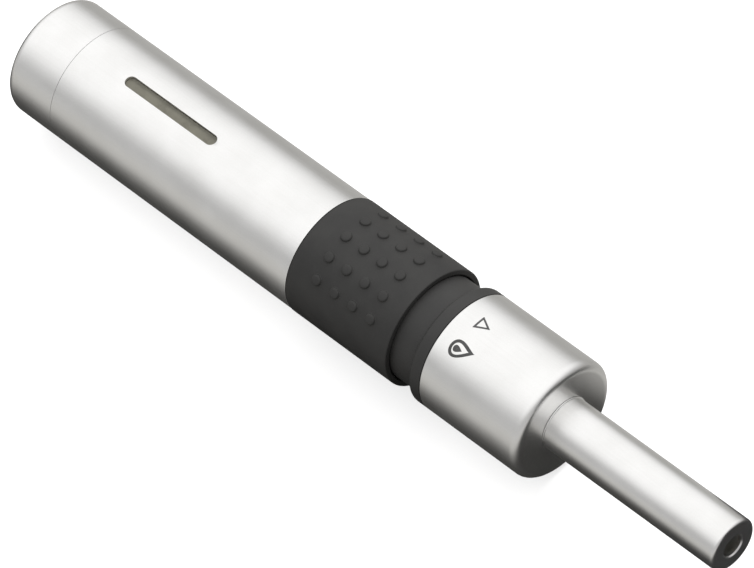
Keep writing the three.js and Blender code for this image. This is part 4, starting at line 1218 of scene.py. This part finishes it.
def wire(node, route, radius, finish, smooth=6):
    """A round wire through the route's points (station, y, height), as one closed mesh."""
    line = bpy.data.curves.new(node, "CURVE")
    line.dimensions = "3D"
    line.resolution_u = smooth
    line.bevel_depth = radius * MM
    line.bevel_resolution = WIRE_SIDES
    line.use_fill_caps = True
    spline = line.splines.new("BEZIER")
    spline.bezier_points.add(len(route) - 1)
    for point, (station, y, height) in zip(spline.bezier_points, route):
        point.co = (REAR + station * MM, y * MM, AXIS_HEIGHT + height * MM)
        point.handle_left_type = point.handle_right_type = "AUTO"
    path = bpy.data.objects.new(node, line)
    bpy.context.scene.collection.objects.link(path)
    ready = path.evaluated_get(bpy.context.evaluated_depsgraph_get())
    shape = bmesh.new()
    shape.from_mesh(ready.to_mesh())
    bpy.data.objects.remove(path)
    bmesh.ops.remove_doubles(shape, verts=shape.verts, dist=WIRE_MERGE)
    bmesh.ops.recalc_face_normals(shape, faces=shape.faces)
    made = piece(node + "_fine", shape, finish, node)
    print(made.name, len(made.data.polygons), "faces")
    return made


ELECTRODE_RADIUS = 0.43
ELECTRODE_BEND = [(-1, 0), (1.4, 0.2), (3.4, 1.6)]  # in front of the jet, and over the lead's line
rear = ends("electrode")[0]
jet_front = ends("burner_jet")[1]
bend = [(rear, 0, LEAD_HEIGHT)]
bend += [(jet_front + ahead, 0, LEAD_HEIGHT + rise) for ahead, rise in ELECTRODE_BEND]
wire("electrode", bend, ELECTRODE_RADIUS, STEEL)

# %% [markdown]
# ## Springs
# Three coil springs push the sleeve, the valve stem and the filler stem back. Each is a wire along
# a helix whose end turns lie flat.

# %% Springs
POINTS_PER_TURN = 12
CLOSED_TURNS = 0.8
SPRINGS = {  # wire, turns, height over the axis, and its joint
    "return_spring": (1.0, 6, 0.0, "sleeve_slide"),
    "valve_spring": (0.26, 5, 0.0, "valve_stem_lift"),
    "filler_spring": (0.28, 5, FILLER_HEIGHT, "filler_stem_press"),
}
travels = {j["name"]: j["range_m"][1] for j in frame["joints"] if j["type"] == "slide"}


def helix(rear, front, radius, size, turns, height):
    """Points of a coil whose first and last turns close up."""
    flat = CLOSED_TURNS * size
    points = []
    for i in range(turns * POINTS_PER_TURN + 1):
        turn = i / POINTS_PER_TURN
        from_end = min(turn, turns - turn)
        if from_end < CLOSED_TURNS:
            run = from_end * size
        else:
            pitch = (front - rear - size - 2 * flat) / (turns - 2 * CLOSED_TURNS)
            run = flat + (from_end - CLOSED_TURNS) * pitch
        station = rear + size / 2 + run if turn < turns / 2 else front - size / 2 - run
        y, z = on_circle(radius, 2 * math.pi * turn)
        points.append((station, y, height + z))
    return points


for name, (size, turns, height, joint) in SPRINGS.items():
    rear, front = ends(name)
    route = helix(rear, front, outer_radius(name) - size / 2, size, turns, height)
    coil = wire(name, route, size / 2, STEEL, smooth=3)
    keep = 1 - travels[joint] / ((front - rear) * MM)
    fixed_end = (REAR + front * MM, 0, AXIS_HEIGHT)
    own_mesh(coil)

# %% [markdown]
# ## A printed mark
# The head carries a small mark in dark ink near its rear edge: a flame, and a triangle that points
# the way the sleeve is pushed. Each is a loop of edges and a smaller copy of it, bridged to a thin
# ring, then wrapped round the head and thickened by a hair.

# %% Flame and arrow
INK_THICKNESS = 0.015
INK_RAISED = 0.005
MARK_FROM_REAR = 6.6


def ringed(outline, inner, centre):
    """A flat ring between an outline of (x, y) points and a smaller copy of it round a centre."""
    shape = bmesh.new()
    loops = []
    for size in (1, inner):
        scaled = [
            (centre.x + (p.x - centre.x) * size, centre.y + (p.y - centre.y) * size, 0)
            for p in outline
        ]
        verts = [shape.verts.new(place) for place in scaled]
        loops += [shape.edges.new((a, b)) for a, b in zip(verts, verts[1:] + verts[:1])]
    bmesh.ops.bridge_loops(shape, edges=loops)
    return shape


def printed(name, shape, station, angle):
    """Wraps a flat shape, in millimetres, round the head at a station and an angle."""
    radius = RADIUS + INK_RAISED
    for vert in shape.verts:
        turn = math.radians(angle) + vert.co.y / radius
        across, up = on_circle(radius, turn)
        vert.co = (REAR + (station + vert.co.x) * MM, across * MM, AXIS_HEIGHT + up * MM)
    bmesh.ops.recalc_face_normals(shape, faces=shape.faces)
    first = shape.faces[:][0]
    if first.normal.dot(from_axis(first.calc_center_median())) < 0:
        bmesh.ops.reverse_faces(shape, faces=shape.faces)
    bmesh.ops.solidify(shape, geom=shape.faces[:], thickness=-INK_THICKNESS * MM)
    bmesh.ops.recalc_face_normals(shape, faces=shape.faces)
    return piece(name, shape, INK, body="handle")


FLAME_FULLNESS = 0.77
FLAME_PINCH = 1.5
FLAME_BEND = 0.03


def flame_outline(height, width, steps=48):
    """A drop that is pinched towards its point, and bent a little to one side."""
    points = []
    for i in range(steps):
        a = 2 * math.pi * i / steps
        x = height / 2 * math.cos(a)
        y = width * FLAME_FULLNESS * math.sin(a) * math.sin(a / 2) ** FLAME_PINCH
        points.append(Vector((x, y + FLAME_BEND * (x + height / 2) ** 2)))
    return points


def triangle_outline(length, width, steps=8):
    back = -length / 2
    corners = [Vector((length / 2, 0)), Vector((back, width / 2)), Vector((back, -width / 2))]
    sides = zip(corners, corners[1:] + corners[:1])
    return [a.lerp(b, i / steps) for a, b in sides for i in range(steps)]


# name, outline, size and centre of the smaller copy, millimetres back from the mark, degrees round
MARKS = [
    ("printed_flame", flame_outline(6.4, 4.0), 0.66, (-1.1, 0.1), 0, -22),
    ("printed_flame_core", flame_outline(2.4, 1.5), 0.05, (-0.2, 0.05), 1.0, -22),
    ("printed_arrow", triangle_outline(3.6, 3.8), 0.6, (-0.6, 0), 0, 8),
]
mark = ends("head_shell")[0] + MARK_FROM_REAR
for name, outline, inner, centre, back, angle in MARKS:
    made = printed(name, ringed(outline, inner, Vector(centre)), mark - back, angle)
    print(made.name, len(made.data.polygons), "faces")

# %% [markdown]
# ## Finishes for the pieces that stay as the model has them
# The small inside pieces keep their model shapes. Their finishes go into the objects' own slots.

# %% Finishes of the inside pieces
finishes = {
    "satin_metal": SATIN,
    "grip_rubber": RUBBER,
    "black_plastic": BLACK,
    "grey_plastic": ACETAL,
    "smoked_plastic": SMOKED,
    "brass": BRASS,
    "steel": STEEL,
    "ceramic": CERAMIC,
    "seal_rubber": SEAL,
    "silicone": SILICONE,
    "red_insulation": INSULATION,
}
for subpart in frame["record"]["subparts"]:
    node = nodes[subpart["node"]]
    node.data.materials.clear()
    node.data.materials.append(finishes[subpart["material_slot"]])

# %% [markdown]
# A piece that grew past the model would no longer be the right size.
